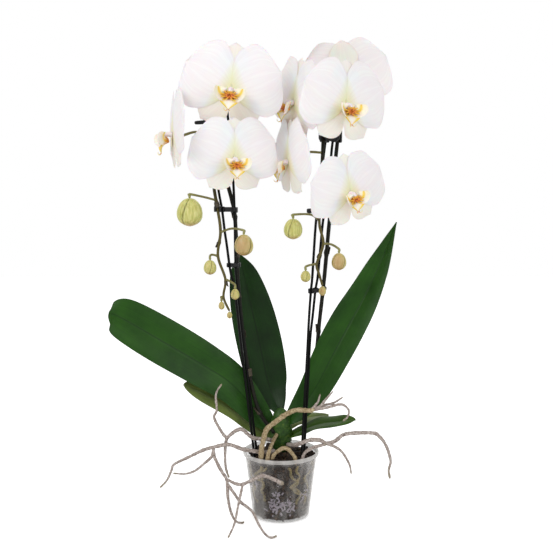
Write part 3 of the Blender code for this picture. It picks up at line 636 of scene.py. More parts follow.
leafShapes = {
    # midrib in mm, half widths, facing at base and tip, fold in degrees, material and its slot
    "left_large": ([(-11, 3, 141), (-32, 3, 158), (-76, -8, 212), (-122, -20, 246),
                    (-183, -34, 286), (-243, -45, 324), (-260, -48, 331)],
                   [(0.0, 9), (0.12, 16), (0.35, 31), (0.6, 37), (0.8, 35), (0.93, 27),
                    (1.0, 20)], [(0, -0.95, 0.3), (-0.1, -0.8, 0.6)], 12, leafGreen, "leaf"),
    "left_lower": ([(-10, 3, 120), (-30, 9, 130), (-50, 10, 147), (-76, 2, 169),
                    (-114, -13, 196), (-150, -29, 217)],
                   [(0.0, 7), (0.3, 15), (0.6, 19), (0.85, 19), (1.0, 16)],
                   [(0.2, -0.7, 0.65), (0.2, -0.7, 0.7)], 14, leafOlive, "leaf_olive"),
    # the centre leaf takes the darker green with painted shade
    "centre": ([(-2, 5, 165), (-10, 17, 183), (-21, 27, 210), (-34, 33, 269), (-46, 37, 322),
                (-59, 41, 378), (-67, 43, 412)],
               [(0.0, 8), (0.15, 19), (0.4, 35), (0.65, 35), (0.85, 24), (1.0, 11)],
               [(0, -0.95, 0.3), (0, -0.97, 0.2)], 10, leafPaintedShade, "leaf"),
    "right_large": ([(11, 0, 152), (32, -2, 174), (56, -1, 208), (82, 3, 258), (108, 8, 306),
                     (133, 11, 352), (158, 15, 406), (181, 20, 465)],
                    [(0.0, 11), (0.15, 20), (0.4, 31), (0.6, 32), (0.8, 23), (0.93, 12),
                     (1.0, 4)], [(-0.2, -0.97, 0.1), (-0.45, -0.85, 0.1)], 22, leafGreen, "leaf"),
    "right_lower": ([(10, 0, 124), (36, -3, 138), (62, -13, 150), (90, -28, 158),
                     (114, -40, 165)],
                    [(0.0, 8), (0.3, 14), (0.6, 16), (0.85, 12), (1.0, 7)],
                    [(0, -0.3, 0.95), (0, -0.5, 0.85)], 12, leafYoung, "leaf"),
    "right_back": ([(5, 10, 133), (22, 25, 143), (50, 36, 148), (78, 46, 149)],
                   [(0.0, 7), (0.3, 12), (0.6, 13), (0.85, 10), (1.0, 5)],
                   [(0, -0.3, 0.95), (0, -0.3, 0.95)], 10, leafOlive, "leaf_olive"),
}


def leafShape(midrib, widths, facings, fold, seed, rows=56, columns=23):
    # half width square to the midrib, both halves folded up by the fold angle, a channel along
    # the midrib as a bell curve, edges turned down as s to the fourth, and a slow edge wave
    t = np.sin(np.linspace(0, 1, rows) * math.pi / 2)
    centre, side, up = bladeLine(midrib, 10, t, facings)
    s = crowded(columns)
    t = t[:, None]
    half = valueAt(widths, t) * np.sqrt(np.clip(1 - t ** 12, 0.01, 1))
    angle = math.radians(fold) * (1 + 1.2 * np.exp(-t / 0.07))
    bend = np.sqrt(s ** 2 + 0.004) - 0.063
    wave = 1.3 * np.abs(s) ** 3 * ripple(t * 11 + np.sign(s) * 2, (1.0, 1.6), seed)
    channel = -1.1 * np.exp(-(s / 0.06) ** 2)
    rise = half * (bend * np.sin(angle) - 0.07 * s ** 4) + channel + wave
    middle = centre + side * (half * s * np.cos(angle))[..., None] + up * rise[..., None]
    thick = 2.2 * (1 - 0.6 * np.abs(s) ** 2.5) + 0.9 * np.exp(-(s / 0.07) ** 2)
    return sheetShape(middle, thick, s, t)


def addLeaves():
    for seed, (name, (*form, material, slot)) in enumerate(leafShapes.items()):
        addPiece(f"leaf_{name}_blade", leafShape(*form, seed), material, f"leaf_{name}")
    print("leaves: done")


# the middle line of each flower spike in mm, from the crown to its hanging tip
spikeRoutes = {
    "left": [(-10, -9, 134), (-33, -11, 168), (-47, -9, 215), (-58, -7, 280), (-66, -7, 363),
             (-68, -6, 406), (-71, -6, 476), (-76, -6, 502), (-83, -5, 531), (-88, -3, 576),
             (-90, -2, 620), (-93, -2, 652), (-101, -4, 666), (-110, -8, 654), (-112, -13, 621),
             (-108, -17, 576), (-102, -20, 520), (-96, -23, 485), (-92, -26, 452),
             (-96, -28, 416), (-85, -27, 380), (-88, -26, 353), (-79, -26, 330.6)],
    "right": [(10, 5, 142), (28, 12, 160), (42, 15, 192), (55, 16, 250), (61, 14, 310),
              (65, 10, 350), (68, 8, 381), (75, 4, 468), (80, 2, 520), (85, 2, 576),
              (89, 2, 610), (91, 2, 638), (85, 2, 656), (75, 0, 655), (67, -5, 632),
              (64, -13, 600), (63, -16, 576), (60, -22, 516), (58, -26, 466), (64, -31, 435),
              (54, -31, 404), (58, -31, 388), (63, -32, 370.4)],
}

spike = {"radius": 3.2, "endRadius": 1.8, "jointSpacing": 62.0, "swelling": 0.28,
         "bractLength": 13.0, "bractThickness": 0.7,
         # radius of a stalk, and how much it gains towards its end
         "flowerStalk": (1.9, 0.5), "budStalk": (1.7, 0.3)}

# stalk points in mm, from the spike to behind each flower

flowerStalks = {
    "left_top": [(-94, -3, 656), (-88, -16, 668), (-79, -34, 666)],
    "left_side": [(-108, -15, 588), (-126, -26, 602)],
    "left_low": [(-107, -17, 570), (-90, -36, 572)],
    "right_top": [(66, -7, 626), (72, -34, 634)],
    "right_back": [(90, 2, 642), (98, 2, 658)],
    "right_side": [(67, -5, 634), (50, -2, 642)],
    "right_middle": [(63, -16, 572), (38, -14, 572)],
    "right_low": [(60, -21, 520), (74, -40, 524)],
}

budPlaces = {
    # centre, half width, half height, stalk from the spike
    "left_1": ((-138, -30, 483), 19.5, 20.5, [(-98, -21, 500), (-116, -27, 505)]),
    "left_2": ((-56, -42, 434), 14, 15.5, [(-92, -26, 452), (-74, -36, 458)]),
    "left_3": ((-108, -30, 399), 9.6, 10.8, [(-96, -28, 416), (-105, -29, 418)]),
    "left_4": ((-70, -32, 358), 6.5, 8.0, [(-85, -27, 380), (-77, -30, 377)]),
    "left_5": ((-91, -29, 340), 4.6, 6.0, [(-88, -26, 353), (-92, -28, 353)]),
    "left_6": ((-79, -26, 325), 4.0, 5.2, []),
    "right_1": ((18, -40, 458), 14, 15, [(58, -26, 470), (44, -34, 479)]),
    "right_2": ((87, -42, 409), 11, 12.5, [(64, -31, 435), (76, -37, 434)]),
    "right_3": ((37, -38, 386), 7.5, 8.5, [(54, -31, 404), (45, -35, 403)]),
    "right_4": ((63, -32, 363), 5.5, 7.0, []),
}


def bractShape(centre, tangent, radius, turn, length):
    # scale clasping the stem: a tube's wall over part of the way round, narrowing to a point
    reference = unit(np.cross(tangent, (0.2, 0.96, 0.1)))
    other = np.cross(tangent, reference)
    t = np.linspace(0, 1, 9)[:, None]
    s = np.linspace(-1, 1, 9)[None, :]
    angle = turn + s * 1.9 * np.sqrt(1 - 0.96 * t)
    out = radius + 0.5 + 1.5 * t ** 2
    middle = (centre + tangent * (t * length)[..., None]
              + reference * (np.cos(angle) * out)[..., None] + other * (np.sin(angle) * out)[..., None])
    return sheetShape(middle, spike["bractThickness"], s, t)


def spikeShapes(side, number):
    # stem: radius falls along it, swells as a bell curve at each joint, and each joint has a bract
    line, along = evenly(curveThrough(spikeRoutes[side], 10), 2.2)
    total = along[-1]
    thick = spike["radius"]
    radii = np.interp(along / total, [0, 0.33, 0.66, 1], [thick, thick, thick - 0.3, spike["endRadius"]])
    joints = np.arange(40.0, total - 30.0, spike["jointSpacing"])
    for joint in joints:
        radii = radii * (1 + spike["swelling"] * np.exp(-((along - joint) / 2.6) ** 2))
    radii = radii * (1 + 0.03 * ripple(along / 9, (1, 2.3), number))
    tangents = unit(np.gradient(line, axis=0))
    bracts = []
    for count, joint in enumerate(joints):
        at = int(np.argmin(np.abs(along - joint)))
        bracts.append(bractShape(line[at], tangents[at], radii[at], 2.4 * count + number,
                                 spike["bractLength"] * (1 - 0.4 * joint / total)))
    return tubeShape(line, domed(along, radii), 14), joined(bracts)


def stalkShape(route, ends, seed, thick, flare):
    # pedicel: a thin tube that starts thick on the stem and widens evenly towards the flower or bud
    line, along = evenly(curveThrough(route + ends, 10), 1.6)
    radii = thick + flare * (along / along[-1]) ** 3 + 0.08 * ripple(along / 4, (1, 2.1), seed)
    return tubeShape(line, domed(along, radii + 0.9 * np.exp(-(along / 2.2) ** 2)), 12)


def flowerStalk(name, route, seed):
    # its last points come to the flower's hub from behind
    hub, yaw, nod, _, _ = flowerPlaces[name]
    yaw, nod = math.radians(yaw), math.radians(nod)
    back = np.array([-math.sin(yaw) * math.cos(nod), math.cos(yaw) * math.cos(nod), math.sin(nod)])
    ends = [tuple(hub + back * reach) for reach in (14, 6, 1.7)]
    return stalkShape(route, ends, seed, *spike["flowerStalk"])


def budStalk(centre, halfHeight, route, seed):
    # its last points come down onto the bud
    x, y, z = centre
    ends = [(x, y, z + halfHeight + lift) for lift in (6, 3, -0.4)]
    return stalkShape(route, ends, seed, *spike["budStalk"])


def addStems():
    for number, side in enumerate(("left", "right")):
        stem, bracts = spikeShapes(side, number)
        flowers = [flowerStalk(name, route, seed)
                   for seed, (name, route) in enumerate(flowerStalks.items()) if name.startswith(side)]
        buds = [budStalk(centre, halfHeight, route, seed)
                for seed, (name, (centre, _, halfHeight, route)) in enumerate(budPlaces.items())
                if name.startswith(side) and route]
        for label, shape, skin in (("stem", stem, spikeSkin), ("bracts", bracts, bractSkin),
                                   ("flower_stalks", joined(flowers), pedicelSkin),
                                   ("bud_stalks", joined(buds), pedicelSkin)):
            addPiece(f"spike_{side}_{label}", shape, skin, f"spike_{side}")
    print("spikes: done")


# how strongly each bud is flushed pink-brown, 0 to 1
budFlush = {"left_1": 0.3, "left_2": 0.85, "left_3": 0.5, "left_4": 0.6, "left_5": 0.7, "left_6": 0.7,
            "right_1": 0.3, "right_2": 0.85, "right_3": 0.5, "right_4": 0.8}


def budShape(centre, halfWidth, halfHeight, flush, seed, rows=30, columns=48):
    # egg: radius sin(theta) to the 0.85, fuller below the middle, with three seams as bell-shaped
    # grooves that run from the stalk to the tip and turn slightly; place is 1 in a seam, how far
    # down, and the flush, strongest on one side
    theta = np.linspace(0.03, math.pi - 0.03, rows)[:, None]
    phi = around(columns)
    fullness = np.sin(theta) ** 0.85 * (1 - 0.13 * np.cos(theta))
    twist = phi + 0.3 * theta + 0.5 + 0.7 * seed
    fromSeam = np.abs((twist / (2 * math.pi) * 3) % 1 - 0.5)
    seam = np.exp(-(fromSeam / 0.045) ** 2)
    wide = halfWidth * fullness * (1 - 0.11 * seam * np.sin(theta) ** 0.5)
    tip = 0.07 * halfHeight * np.clip((theta - 2.5) / 0.6, 0, 1) ** 2
    rings = polar(wide, phi, halfHeight * np.cos(theta) - tip) * (1, 0.94, 1)
    verts, faces, place = closedRings(rings[::-1] + centre, np.linspace(1, 0, rows))
    place[:, 2] = 0.6 * flush
    place[:rows * columns, 0] = seam[::-1].ravel()
    blush = flush * (0.6 + 0.4 * np.cos(phi - 4.4) * np.sin(theta))
    place[:rows * columns, 2] = blush[::-1].ravel()
    return verts, faces, place


def addBuds():
    for seed, (name, (centre, halfWidth, halfHeight, _)) in enumerate(budPlaces.items()):
        shape = budShape(centre, halfWidth, halfHeight, budFlush[name], seed)
        addPiece(f"bud_{name}_skin", shape, budSkin, f"bud_{name}")
    print("buds: done")


# each root's branches: points in mm and radii spread evenly along it
rootBranches = {
    "front_branched": [
        ([(-31, -37, 94), (-30, -41, 118), (-27, -43, 134), (-22, -43, 150), (-9, -45, 162),
          (9, -45, 175), (24, -45, 181), (44, -45, 180), (54, -46, 184)], (3.2, 3.0, 2.6)),
        ([(50, -46, 182), (60, -48, 188), (68, -51, 199), (79, -55, 213)], (2.0, 0.9)),
        ([(50, -45, 182), (65, -43, 188), (80, -41, 191), (95, -40, 200)], (2.0, 0.9)),
        ([(50, -46, 182), (70, -49, 186), (92, -50, 191), (103, -50, 182), (101, -50, 171),
          (94, -50, 165)], (2.0, 1.0)),
        ([(46, -45, 181), (56, -42, 192), (60, -40, 205)], (1.8, 0.9)),
    ],
    "left_upright": [
        ([(-10, -8, 122), (-24, -20, 128), (-44, -33, 134), (-62, -42, 150), (-80, -45, 140),
          (-85, -45, 129), (-86, -46, 110), (-85, -47, 91), (-80, -48, 75)], (2.4, 2.2, 1.2)),
        ([(-82, -45, 136), (-90, -48, 146), (-102, -50, 170), (-98, -50, 182),
          (-99, -50, 207), (-90, -50, 223)], (1.9, 1.0)),
    ],
    "left_cascade": [
        ([(-10, -10, 106), (-24, -26, 108), (-40, -38, 114), (-59, -50, 121), (-80, -56, 130),
          (-104, -50, 124), (-120, -42, 117), (-141, -36, 105), (-166, -31, 91),
          (-171, -30, 80), (-178, -30, 65), (-189, -30, 53)], (2.6, 2.2, 1.1)),
        ([(-103, -50, 124), (-106, -50, 110), (-117, -49, 99), (-132, -50, 87),
          (-148, -50, 82), (-166, -50, 83)], (1.9, 0.9)),
        ([(-104, -50, 120), (-102, -52, 110), (-97, -54, 99), (-90, -57, 87), (-83, -61, 76),
          (-81, -65, 51), (-77, -66, 29), (-70, -61, 12), (-62, -50, 4), (-57, -43, 3)],
         (2.0, 1.8, 1.2)),
        ([(-82, -62, 70), (-72, -67, 58), (-61, -72, 45), (-44, -80, 34), (-33, -92, 17),
          (-24, -101, 7), (-15, -105, 3), (-6, -98, 3)], (1.9, 1.6, 1.1)),
        ([(-83, -61, 77), (-67, -68, 72), (-56, -72, 74), (-38, -76, 84), (-29, -76, 88),
          (-17, -76, 85), (4, -74, 74)], (1.8, 2.0, 2.3)),
        ([(-58, -72, 74), (-61, -76, 60), (-65, -83, 42), (-70, -95, 20), (-79, -107, 3)],
         (1.6, 1.1)),
    ],
    "right_long": [
        ([(10, -8, 116), (20, -26, 120), (29, -37, 126), (44, -39, 132), (60, -36, 131),
          (70, -35, 126), (83, -35, 129), (96, -35, 139), (113, -35, 142), (143, -32, 141),
          (153, -32, 135), (163, -32, 121), (170, -34, 98), (167, -36, 83), (169, -38, 70)],
         (2.6, 2.4, 2.2, 1.2)),
        ([(69, -36, 126), (82, -39, 122), (94, -42, 114), (105, -45, 96), (108, -48, 81)],
         (1.9, 1.0)),
        ([(31, -37, 94), (36, -40, 111), (48, -41, 120), (70, -36, 125)], (1.8, 2.0)),
    ],
    "bark_arch": [
        ([(-14, -40, 93), (-11, -41, 109), (6, -44, 121), (20, -43, 108), (24, -41, 93)],
         (2.2, 2.4, 2.2)),
    ],
    "bark_strand": [
        ([(-5, -6, 134), (-12, -26, 127), (-19, -40, 112), (-22, -43, 93)], (2.0, 2.6)),
    ],
}

root = {"fullness": 1.3, "wander": 0.15, "lumps": 0.05, "sides": 10,
        "tan": ("front_branched", "bark_arch", "bark_strand")}


def rootShape(points, radii, seed):
    # aerial root: a lumpy tube whose radius wanders, with a blunt tip, kept above the ground
    line, along = evenly(curveThrough(points, 8), 1.8)
    wander = root["fullness"] * (1 + root["wander"] * ripple(along / 5.5, (1.0, 2.3, 3.9), seed))
    thick = domed(along, np.interp(along / along[-1], np.linspace(0, 1, len(radii)), radii) * wander)
    bumps = np.random.default_rng(seed).standard_normal((len(line), root["sides"]))
    line[:, 2] = np.maximum(line[:, 2], thick * 1.08)
    return tubeShape(line, thick[:, None] * (1 + root["lumps"] * bumps), root["sides"])


def addRoots():
    for number, (name, branches) in enumerate(rootBranches.items()):
        shapes = [rootShape(*branch, 11 * number + i) for i, branch in enumerate(branches)]
        skin = rootTan if name in root["tan"] else rootSkin
        # the tan root's side branches are young grey ones
        twigs = shapes[1:] if skin is rootTan else []
        main = shapes[:1] if twigs else shapes
        addPiece(f"root_{name}_velamen", joined(main), skin, f"root_{name}")
        if twigs:
            addPiece(f"root_{name}_twigs", joined(twigs), rootSkin, f"root_{name}")
    print("roots: done")


crown = {"halfSize": (16.8, 12.8, 38.0), "sheaths": 5.5, "step": 0.09}


def addCrown():
    # short stem wrapped in old leaf bases: an ellipsoid whose radius steps up and falls back as
    # each sheath ends, with a low fold on both sides
    low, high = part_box("crown")
    theta = np.linspace(0.05, math.pi - 0.35, 44)[:, None]
    phi = around(40)
    height = (1 - np.cos(theta)) / 2
    step = (height * crown["sheaths"] + 0.18 * np.cos(phi * 2)) % 1
    radius = np.sin(theta) * (1 + crown["step"] * (step - 0.5)) * (1 + 0.05 * np.cos(phi * 2))
    centre = np.array([(low.x + high.x) / 2, (low.y + high.y) / 2, high.z]) / mm
    centre[2] -= crown["halfSize"][2]
    rings = polar(radius, phi, np.cos(theta))[::-1] * crown["halfSize"] + centre
    addPiece("crown_sheaths", closedRings(rings), crownSkin, "crown")
    print("crown: done")


# pot and bark, lengths in mm
pot = {"height": 105.0, "footRadius": 44.5, "mouthRadius": 57.5, "rimRadius": 60.0,
       "rimHeight": 6.0, "wall": 1.0, "floor": 1.4, "footRound": 4.0, "ribs": 28,
       "ribDepth": 0.22, "drainCount": 6, "drainRadius": 4.5, "drainCircle": 29.0,
       "barkTop": 100.0}

bark = {"size": 11.0, "thickness": 4.0, "footSize": 4.4, "footThickness": 3.0,
        "wallChips": 360, "footChips": 170, "topChips": 190, "topRadius": 49.0, "innerRoots": 13,
        # moss and perlite patches: angle in degrees, height, spread and count
        "moss": [(-98, 32, 10, 46), (-78, 26, 9, 26), (-150, 62, 7, 16), (-38, 40, 7, 14),
                 (60, 34, 9, 22), (150, 45, 9, 22)]}


def wallRadius(z):
    return pot["footRadius"] + (pot["mouthRadius"] - pot["footRadius"]) * z / pot["height"]


def potShape(steps=168):
    # profile turned about Z; the side's radius also ripples with the angle, as shallow ribs
    height, foot, rim = pot["height"], pot["footRound"], pot["rimRadius"]
    lipLow = height - pot["rimHeight"]
    corner = [(wallRadius(foot) - foot + foot * math.cos(a), foot - foot * math.sin(a))
              for a in np.linspace(math.pi / 2, 0, 6)]
    outer = [(0.3, 0.7), (8, 0.7), (20, 0.7), (34, 0.7), (36, 0.0), *corner]
    side = [(wallRadius(z), z) for z in np.linspace(8, lipLow - 8, 14)]
    roll = [(wallRadius(lipLow), lipLow - 0.4), (rim - 1.2, lipLow), (rim - 0.2, lipLow + 0.6),
            (rim, lipLow + 1.6), (rim, height - 2.0), (rim - 0.3, height - 0.8), (rim - 1.1, height),
            (rim - 2.2, height - 0.1), (pot["mouthRadius"] - pot["wall"], height - 1.0)]
    inner = [(wallRadius(z) - pot["wall"], z) for z in np.linspace(lipLow - 8, 9, 14)]
    inner += [(r - pot["wall"] + 0.1, z + 1.0) for r, z in corner[::-1]]
    inner += [(34, 2.0), (20, 2.0), (8, 2.0), (0.3, 2.0)]
    profile = np.array(outer + side + roll + inner)
    phi = around(steps)
    r, z = profile[:, :1], profile[:, 1:]
    band = np.clip((z - 12) / 6, 0, 1) * np.clip((lipLow - 6 - z) / 6, 0, 1)
    r = r - pot["ribDepth"] * band * (0.5 + 0.5 * np.cos(phi * pot["ribs"])) ** 3
    return closedRings(polar(r, phi, z))


def addPot():
    wall = addPiece("nursery_pot_wall", potShape(), potPlastic, "nursery_pot")
    shape = bmesh.new()
    for angle in np.arange(pot["drainCount"]) * 2 * math.pi / pot["drainCount"]:
        radius = pot["drainRadius"] * mm
        ring = bmesh.ops.create_cone(shape, cap_ends=True, segments=28, radius1=radius, radius2=radius,
                                     depth=8 * mm)
        place = polar(pot["drainCircle"] * mm, angle, 0.0)
        bmesh.ops.translate(shape, vec=place, verts=ring["verts"])
    drain = bpy.data.meshes.new("drainCutters")
    shape.to_mesh(drain)
    shape.free()
    cutter = linked("drainCutters", drain)
    cut = wall.modifiers.new("drain", "BOOLEAN")
    cut.operation = "DIFFERENCE"
    cut.solver = "EXACT"
    cut.object = cutter
    bpy.context.view_layer.update()
    finished = bpy.data.meshes.new_from_object(
        wall.evaluated_get(bpy.context.evaluated_depsgraph_get()))
    wall.modifiers.remove(cut)
    wall.data = finished
    bpy.data.objects.remove(cutter)
    print("pot: done")


def chipBlock():
    # a 3 x 3 x 3 block without its middle, pulled towards a round form, and its faces
    steps = np.array([(x, y, z) for x in (-1, 0, 1) for y in (-1, 0, 1) for z in (-1, 0, 1)
                      if (x, y, z) != (0, 0, 0)], float)
    index = {tuple(p): i for i, p in enumerate(steps.astype(int).tolist())}
    quads = []
    for axis in range(3):
        u, v = (axis + 1) % 3, (axis + 2) % 3
        for sign, a, b in [(sign, a, b) for sign in (-1, 1) for a in (-1, 0) for b in (-1, 0)]:
            loop = []
            for da, db in ((0, 0), (1, 0), (1, 1), (0, 1)):
                corner = [0, 0, 0]
                corner[axis], corner[u], corner[v] = sign, a + da, b + db
                loop.append(index[tuple(corner)])
            quads.append(loop if sign > 0 else loop[::-1])
    return steps / (1 + 0.16 * (np.abs(steps).sum(1, keepdims=True) - 1)), np.array(quads)


def turnsTo(normals, spins):
    # rotations that lay a chip's thin Z along each normal, spun about it
    z = unit(normals)
    helper = np.where(np.abs(z[:, 2:]) > 0.8, np.array([[1.0, 0, 0]]), np.array([[0, 0, 1.0]]))
    x = unit(np.cross(helper, z))
    y = np.cross(z, x)
    cosine, sine = np.cos(spins)[:, None], np.sin(spins)[:, None]
    return np.stack([x * cosine + y * sine, y * cosine - x * sine, z], -1)


def chipCloud(draw, centres, sizes, normals, seed):
    # many chips at once: each corner shifted at random, then sized, laid along its normal and moved
    block, quads = chipBlock()
    count = len(centres)
    turns = turnsTo(normals, draw.uniform(0, math.pi, count))
    noise = np.random.default_rng(seed)
    verts = (block[None] + noise.uniform(-0.16, 0.16, (count, 26, 3))) * sizes[:, None, :] / 2
    verts = np.einsum("nij,nkj->nki", turns, verts) + centres[:, None, :]
    faces = quads[None] + 26 * np.arange(count)[:, None, None]
    place = np.zeros((count, 26, 3))
    place[:, :, 0] = noise.uniform(0, 1, (count, 1))
    return verts.reshape(-1, 3), faces.reshape(-1, 4), place.reshape(-1, 3)


def chipSizes(draw, count, *ranges):
    # length, breadth and thickness of each chip, drawn between two limits
    return np.column_stack([scale * draw.uniform(low, high, count) for scale, low, high in ranges])


def wallChips(count, low, high, depth, size, thickness, seed):
    # chips lying flat against the inside of the side wall
    draw = np.random.default_rng(seed)
    angle = draw.uniform(0, 2 * math.pi, count)
    z = draw.uniform(low, high, count)
    sizes = chipSizes(draw, count, (size, 0.7, 1.7), (size, 0.5, 1.0), (thickness, 0.6, 1.3))
    reach = wallRadius(z) - pot["wall"] - 0.8 - sizes[:, 2] * 0.6 - draw.uniform(0, depth, count)
    normals = polar(1.0, angle, draw.normal(0, 0.12, count))
    return chipCloud(draw, polar(reach, angle, z), sizes, normals, seed)


def topChips(count, size, thickness, seed):
    # chips lying roughly level over the top of the bark, a little higher towards the middle
    draw = np.random.default_rng(seed)
    part = np.sqrt(draw.uniform(0.02, 1, count))
    angle = draw.uniform(0, 2 * math.pi, count)
    z = pot["barkTop"] - 3.5 + 4.5 * (1 - part) + draw.uniform(-2.5, 2.0, count)
    sizes = chipSizes(draw, count, (size, 0.7, 1.8), (size, 0.5, 1.1), (thickness, 0.6, 1.4))
    normals = np.column_stack([draw.normal(0, 0.45, (count, 2)), np.ones(count)])
    return chipCloud(draw, polar(bark["topRadius"] * part, angle, z), sizes, normals, seed)


def mossPatches():
    # loose patches of flat scraps against the wall, scattered as a bell curve
    shapes = []
    for number, (angle, height, spread, count) in enumerate(bark["moss"]):
        draw = np.random.default_rng(80 + number)
        turn = math.radians(angle) + draw.normal(0, spread / 50, count)
        z = np.clip(height + draw.normal(0, spread, count), 9, 84)
        sizes = chipSizes(draw, count, (1, 2.0, 8.5), (1, 1.2, 3.4), (1, 1.0, 2.0))
        reach = wallRadius(z) - pot["wall"] - 0.7 - sizes[:, 2] * 0.6
        shapes.append(chipCloud(draw, polar(reach, turn, z), sizes, polar(1.0, turn, 0.0), 80 + number))
    return joined(shapes)


def innerRoots():
    # roots pressed against the wall: the angle and the height wander along each
    shapes = []
    for i in range(bark["innerRoots"]):
        draw = np.random.default_rng(300 + i)
        u = np.linspace(0, 1, 70)
        start = 2 * math.pi * i / bark["innerRoots"] + draw.uniform(-0.2, 0.2)
        angle = start + draw.uniform(-0.9, 0.9) * u + 0.22 * ripple(u * 8, (1, 1.9), i)
        z = 92 - (86 - draw.uniform(0, 35)) * u + 3 * ripple(u * 9, (1, 2), i + 60)
        thick = draw.uniform(1.5, 2.3) if i % 4 else 3.2
        reach = wallRadius(z) - pot["wall"] - 1.0 - thick
        line, along = evenly(polar(reach, angle, z), 2.4)
        radii = domed(along, thick * (1 + 0.1 * ripple(along / 6, (1, 2.2), i)))
        shapes.append(tubeShape(line, radii, 8))
    return joined(shapes)


def barkCore():
    # dark core a few millimetres inside the wall, so that nothing shows through between chips
    profile = np.array([(0.3, 2.6), (30, 2.6), (wallRadius(4) - 7, 3.4), (wallRadius(8) - 4.5, 6.0)]
                       + [(wallRadius(z) - 5.0, z) for z in np.linspace(12, 88, 12)]
                       + [(40, 92), (20, 95), (0.3, 96)])
    phi = around(64)
    r, z = profile[:, :1], profile[:, 1:]
    return closedRings(polar(r * (1 + 0.02 * ripple(phi * 7 + z / 5, (1, 2), 4)), phi, z))


def addBark():
    wall = wallChips(bark["wallChips"], 12, 86, 3.0, bark["size"], bark["thickness"], 31)
    foot = wallChips(bark["footChips"], 5.5, 13, 1.5, bark["footSize"], bark["footThickness"], 34)
    top = topChips(bark["topChips"], bark["size"], bark["thickness"], 32)
    for label, shape, skin, smooth in (("core", barkCore(), barkChip, True),
                                       ("chips_wall", wall, barkChip, False),
                                       ("chips_foot", foot, barkChip, False),
                                       ("chips_top", top, barkChip, False),
                                       ("moss", mossPatches(), mossTuft, False),
                                       ("inner_roots", innerRoots(), rootInner, True)):
        addPiece("bark_" + label, shape, skin, "bark_substrate", smooth)
    print("bark: done")


# the middle line of each hoop's wire in mm
hoopRoutes = {
    "left": [(-31, -14, 45), (-37, -14, 95), (-42, -14, 139), (-57, -14, 269), (-67, -14, 363),
             (-70, -14, 406), (-71, -13, 476), (-73, -12, 531), (-76, -11, 576), (-80, -10, 620),
             (-84, -11, 645), (-92, -12, 656), (-101, -12, 647), (-103, -11, 621),
             (-101, -12, 576), (-96, -13, 520), (-90, -16, 485), (-86, -17, 452), (-83, -19, 432),
             (-79, -20, 401), (-76, -20, 384), (-71, -20, 363), (-61, -19, 269), (-46, -19, 139),
             (-41, -19, 95), (-35, -19, 45)],
    "right": [(29, -28, 45), (32, -28, 100), (34, -28, 142), (38, -28, 222), (40, -26, 259),
              (43, -23, 320), (46, -20, 363), (48, -19, 384), (53, -16, 464), (59, -10, 516),
              (66, -6, 576), (70, -6, 604), (74, -6, 624), (78, -6, 627), (81, -7, 618),
              (80, -8, 600), (77, -9, 576), (72, -10, 516), (64, -14, 467), (57, -17, 389),
              (53, -18, 363), (49, -18, 324), (45, -19, 285), (42, -22, 222), (38, -22, 142),
              (36, -22, 100), (33, -22, 45)],
}

holder = {"wireRadius": 2.0, "jawWall": 1.15, "jawOpening": 1.1, "jawHeight": 0.95,
          # powers that square the clip's bar off: a circle at 1, nearly a box below a half
          "barSides": 0.35, "barEnds": 0.25, "jawSides": 0.45}

clipPlaces = {
    # centre, size and turn about Y in degrees
    "left_top": ((-112, -13, 618), (38, 15, 7), -4),
    "left_link": ((-84, -12, 486), (34, 13, 9), 0),
    "left_low": ((-74, -15, 401), (18, 15, 7), 0),
    "right_top": ((73, -8, 600), (32, 20, 26), 0),
    "right_side": ((50, -17, 484), (22, 12, 9), 0),
    "right_low": ((53, -19, 362), (18, 10, 8), 0),
}


def addHoops():
    for side, points in hoopRoutes.items():
        line, along = evenly(curveThrough(points, 8), 2.5)
        coat = holder["wireRadius"] * (1 + 0.012 * ripple(along / 12, (1, 2.1), len(points)))
        addPiece(f"hoop_{side}_wire", tubeShape(line, domed(along, coat), 14), wireCoat,
                 f"hoop_{side}")
    print("hoops: done")


def crossings(route, centre, reach):
    # where a path passes the clip's level close to it
    line, _ = evenly(curveThrough(route, 10), 1.0)
    near = np.abs(line - centre) < np.array([reach, 16, 1.0])
    kept = []
    for point in line[near.all(1)]:
        if all(np.hypot(*(point - other)[:2]) > 2.5 for other in kept):
            kept.append(point)
    return kept


def jawShape(point, inner, height):
    # snap jaw: a flat ring open to the front, its section squared off and taller than wide
    wall, half = holder["jawWall"], holder["jawOpening"] / 2
    angle = np.linspace(half, 2 * math.pi - half, 30)[:, None] - math.pi / 2
    section = around(12)
    out = squared(np.cos(section), holder["jawSides"]) * wall
    up = squared(np.sin(section), holder["jawSides"]) * height / 2
    rings = polar(inner + wall + out, angle, up) + point
    return closedRings(rings[:, ::-1])


def clipShape(name):
    # bar with squared-off rounded sides and grip grooves, and a snap jaw on each wire or stem
    centre, size, turn = clipPlaces[name]
    half = np.asarray(size, float) / 2
    bar = half * (1.0, 0.5, 0.82)
    theta = np.linspace(0.03, math.pi - 0.03, 26)[:, None]
    phi = around(56)
    sides = holder["barSides"]
    wide = squared(np.sin(theta), sides)
    x, y = wide * squared(np.cos(phi), holder["barEnds"]), wide * squared(np.sin(phi), sides)
    z = -squared(np.cos(theta), sides) * np.ones_like(phi)
    grooves = 1 - 0.10 * np.exp(-((np.abs(x * 4) % 1 - 0.5) / 0.16) ** 2) * (np.abs(z) < 0.9)
    body = np.stack([x * bar[0], y * bar[1] * grooves, z * bar[2]], -1)
    tilt = np.array(Euler((0, math.radians(turn), 0)).to_matrix())
    shapes = [closedRings(body @ tilt.T + centre)]
    side = name.split("_")[0]
    for route, inner in ((hoopRoutes[side], holder["wireRadius"] + 0.2),
                         (spikeRoutes[side], spike["radius"] + 0.3)):
        for point in crossings(route, centre, half[0] + 3):
            shapes.append(jawShape(point, inner, size[2] * holder["jawHeight"]))
    return joined(shapes)


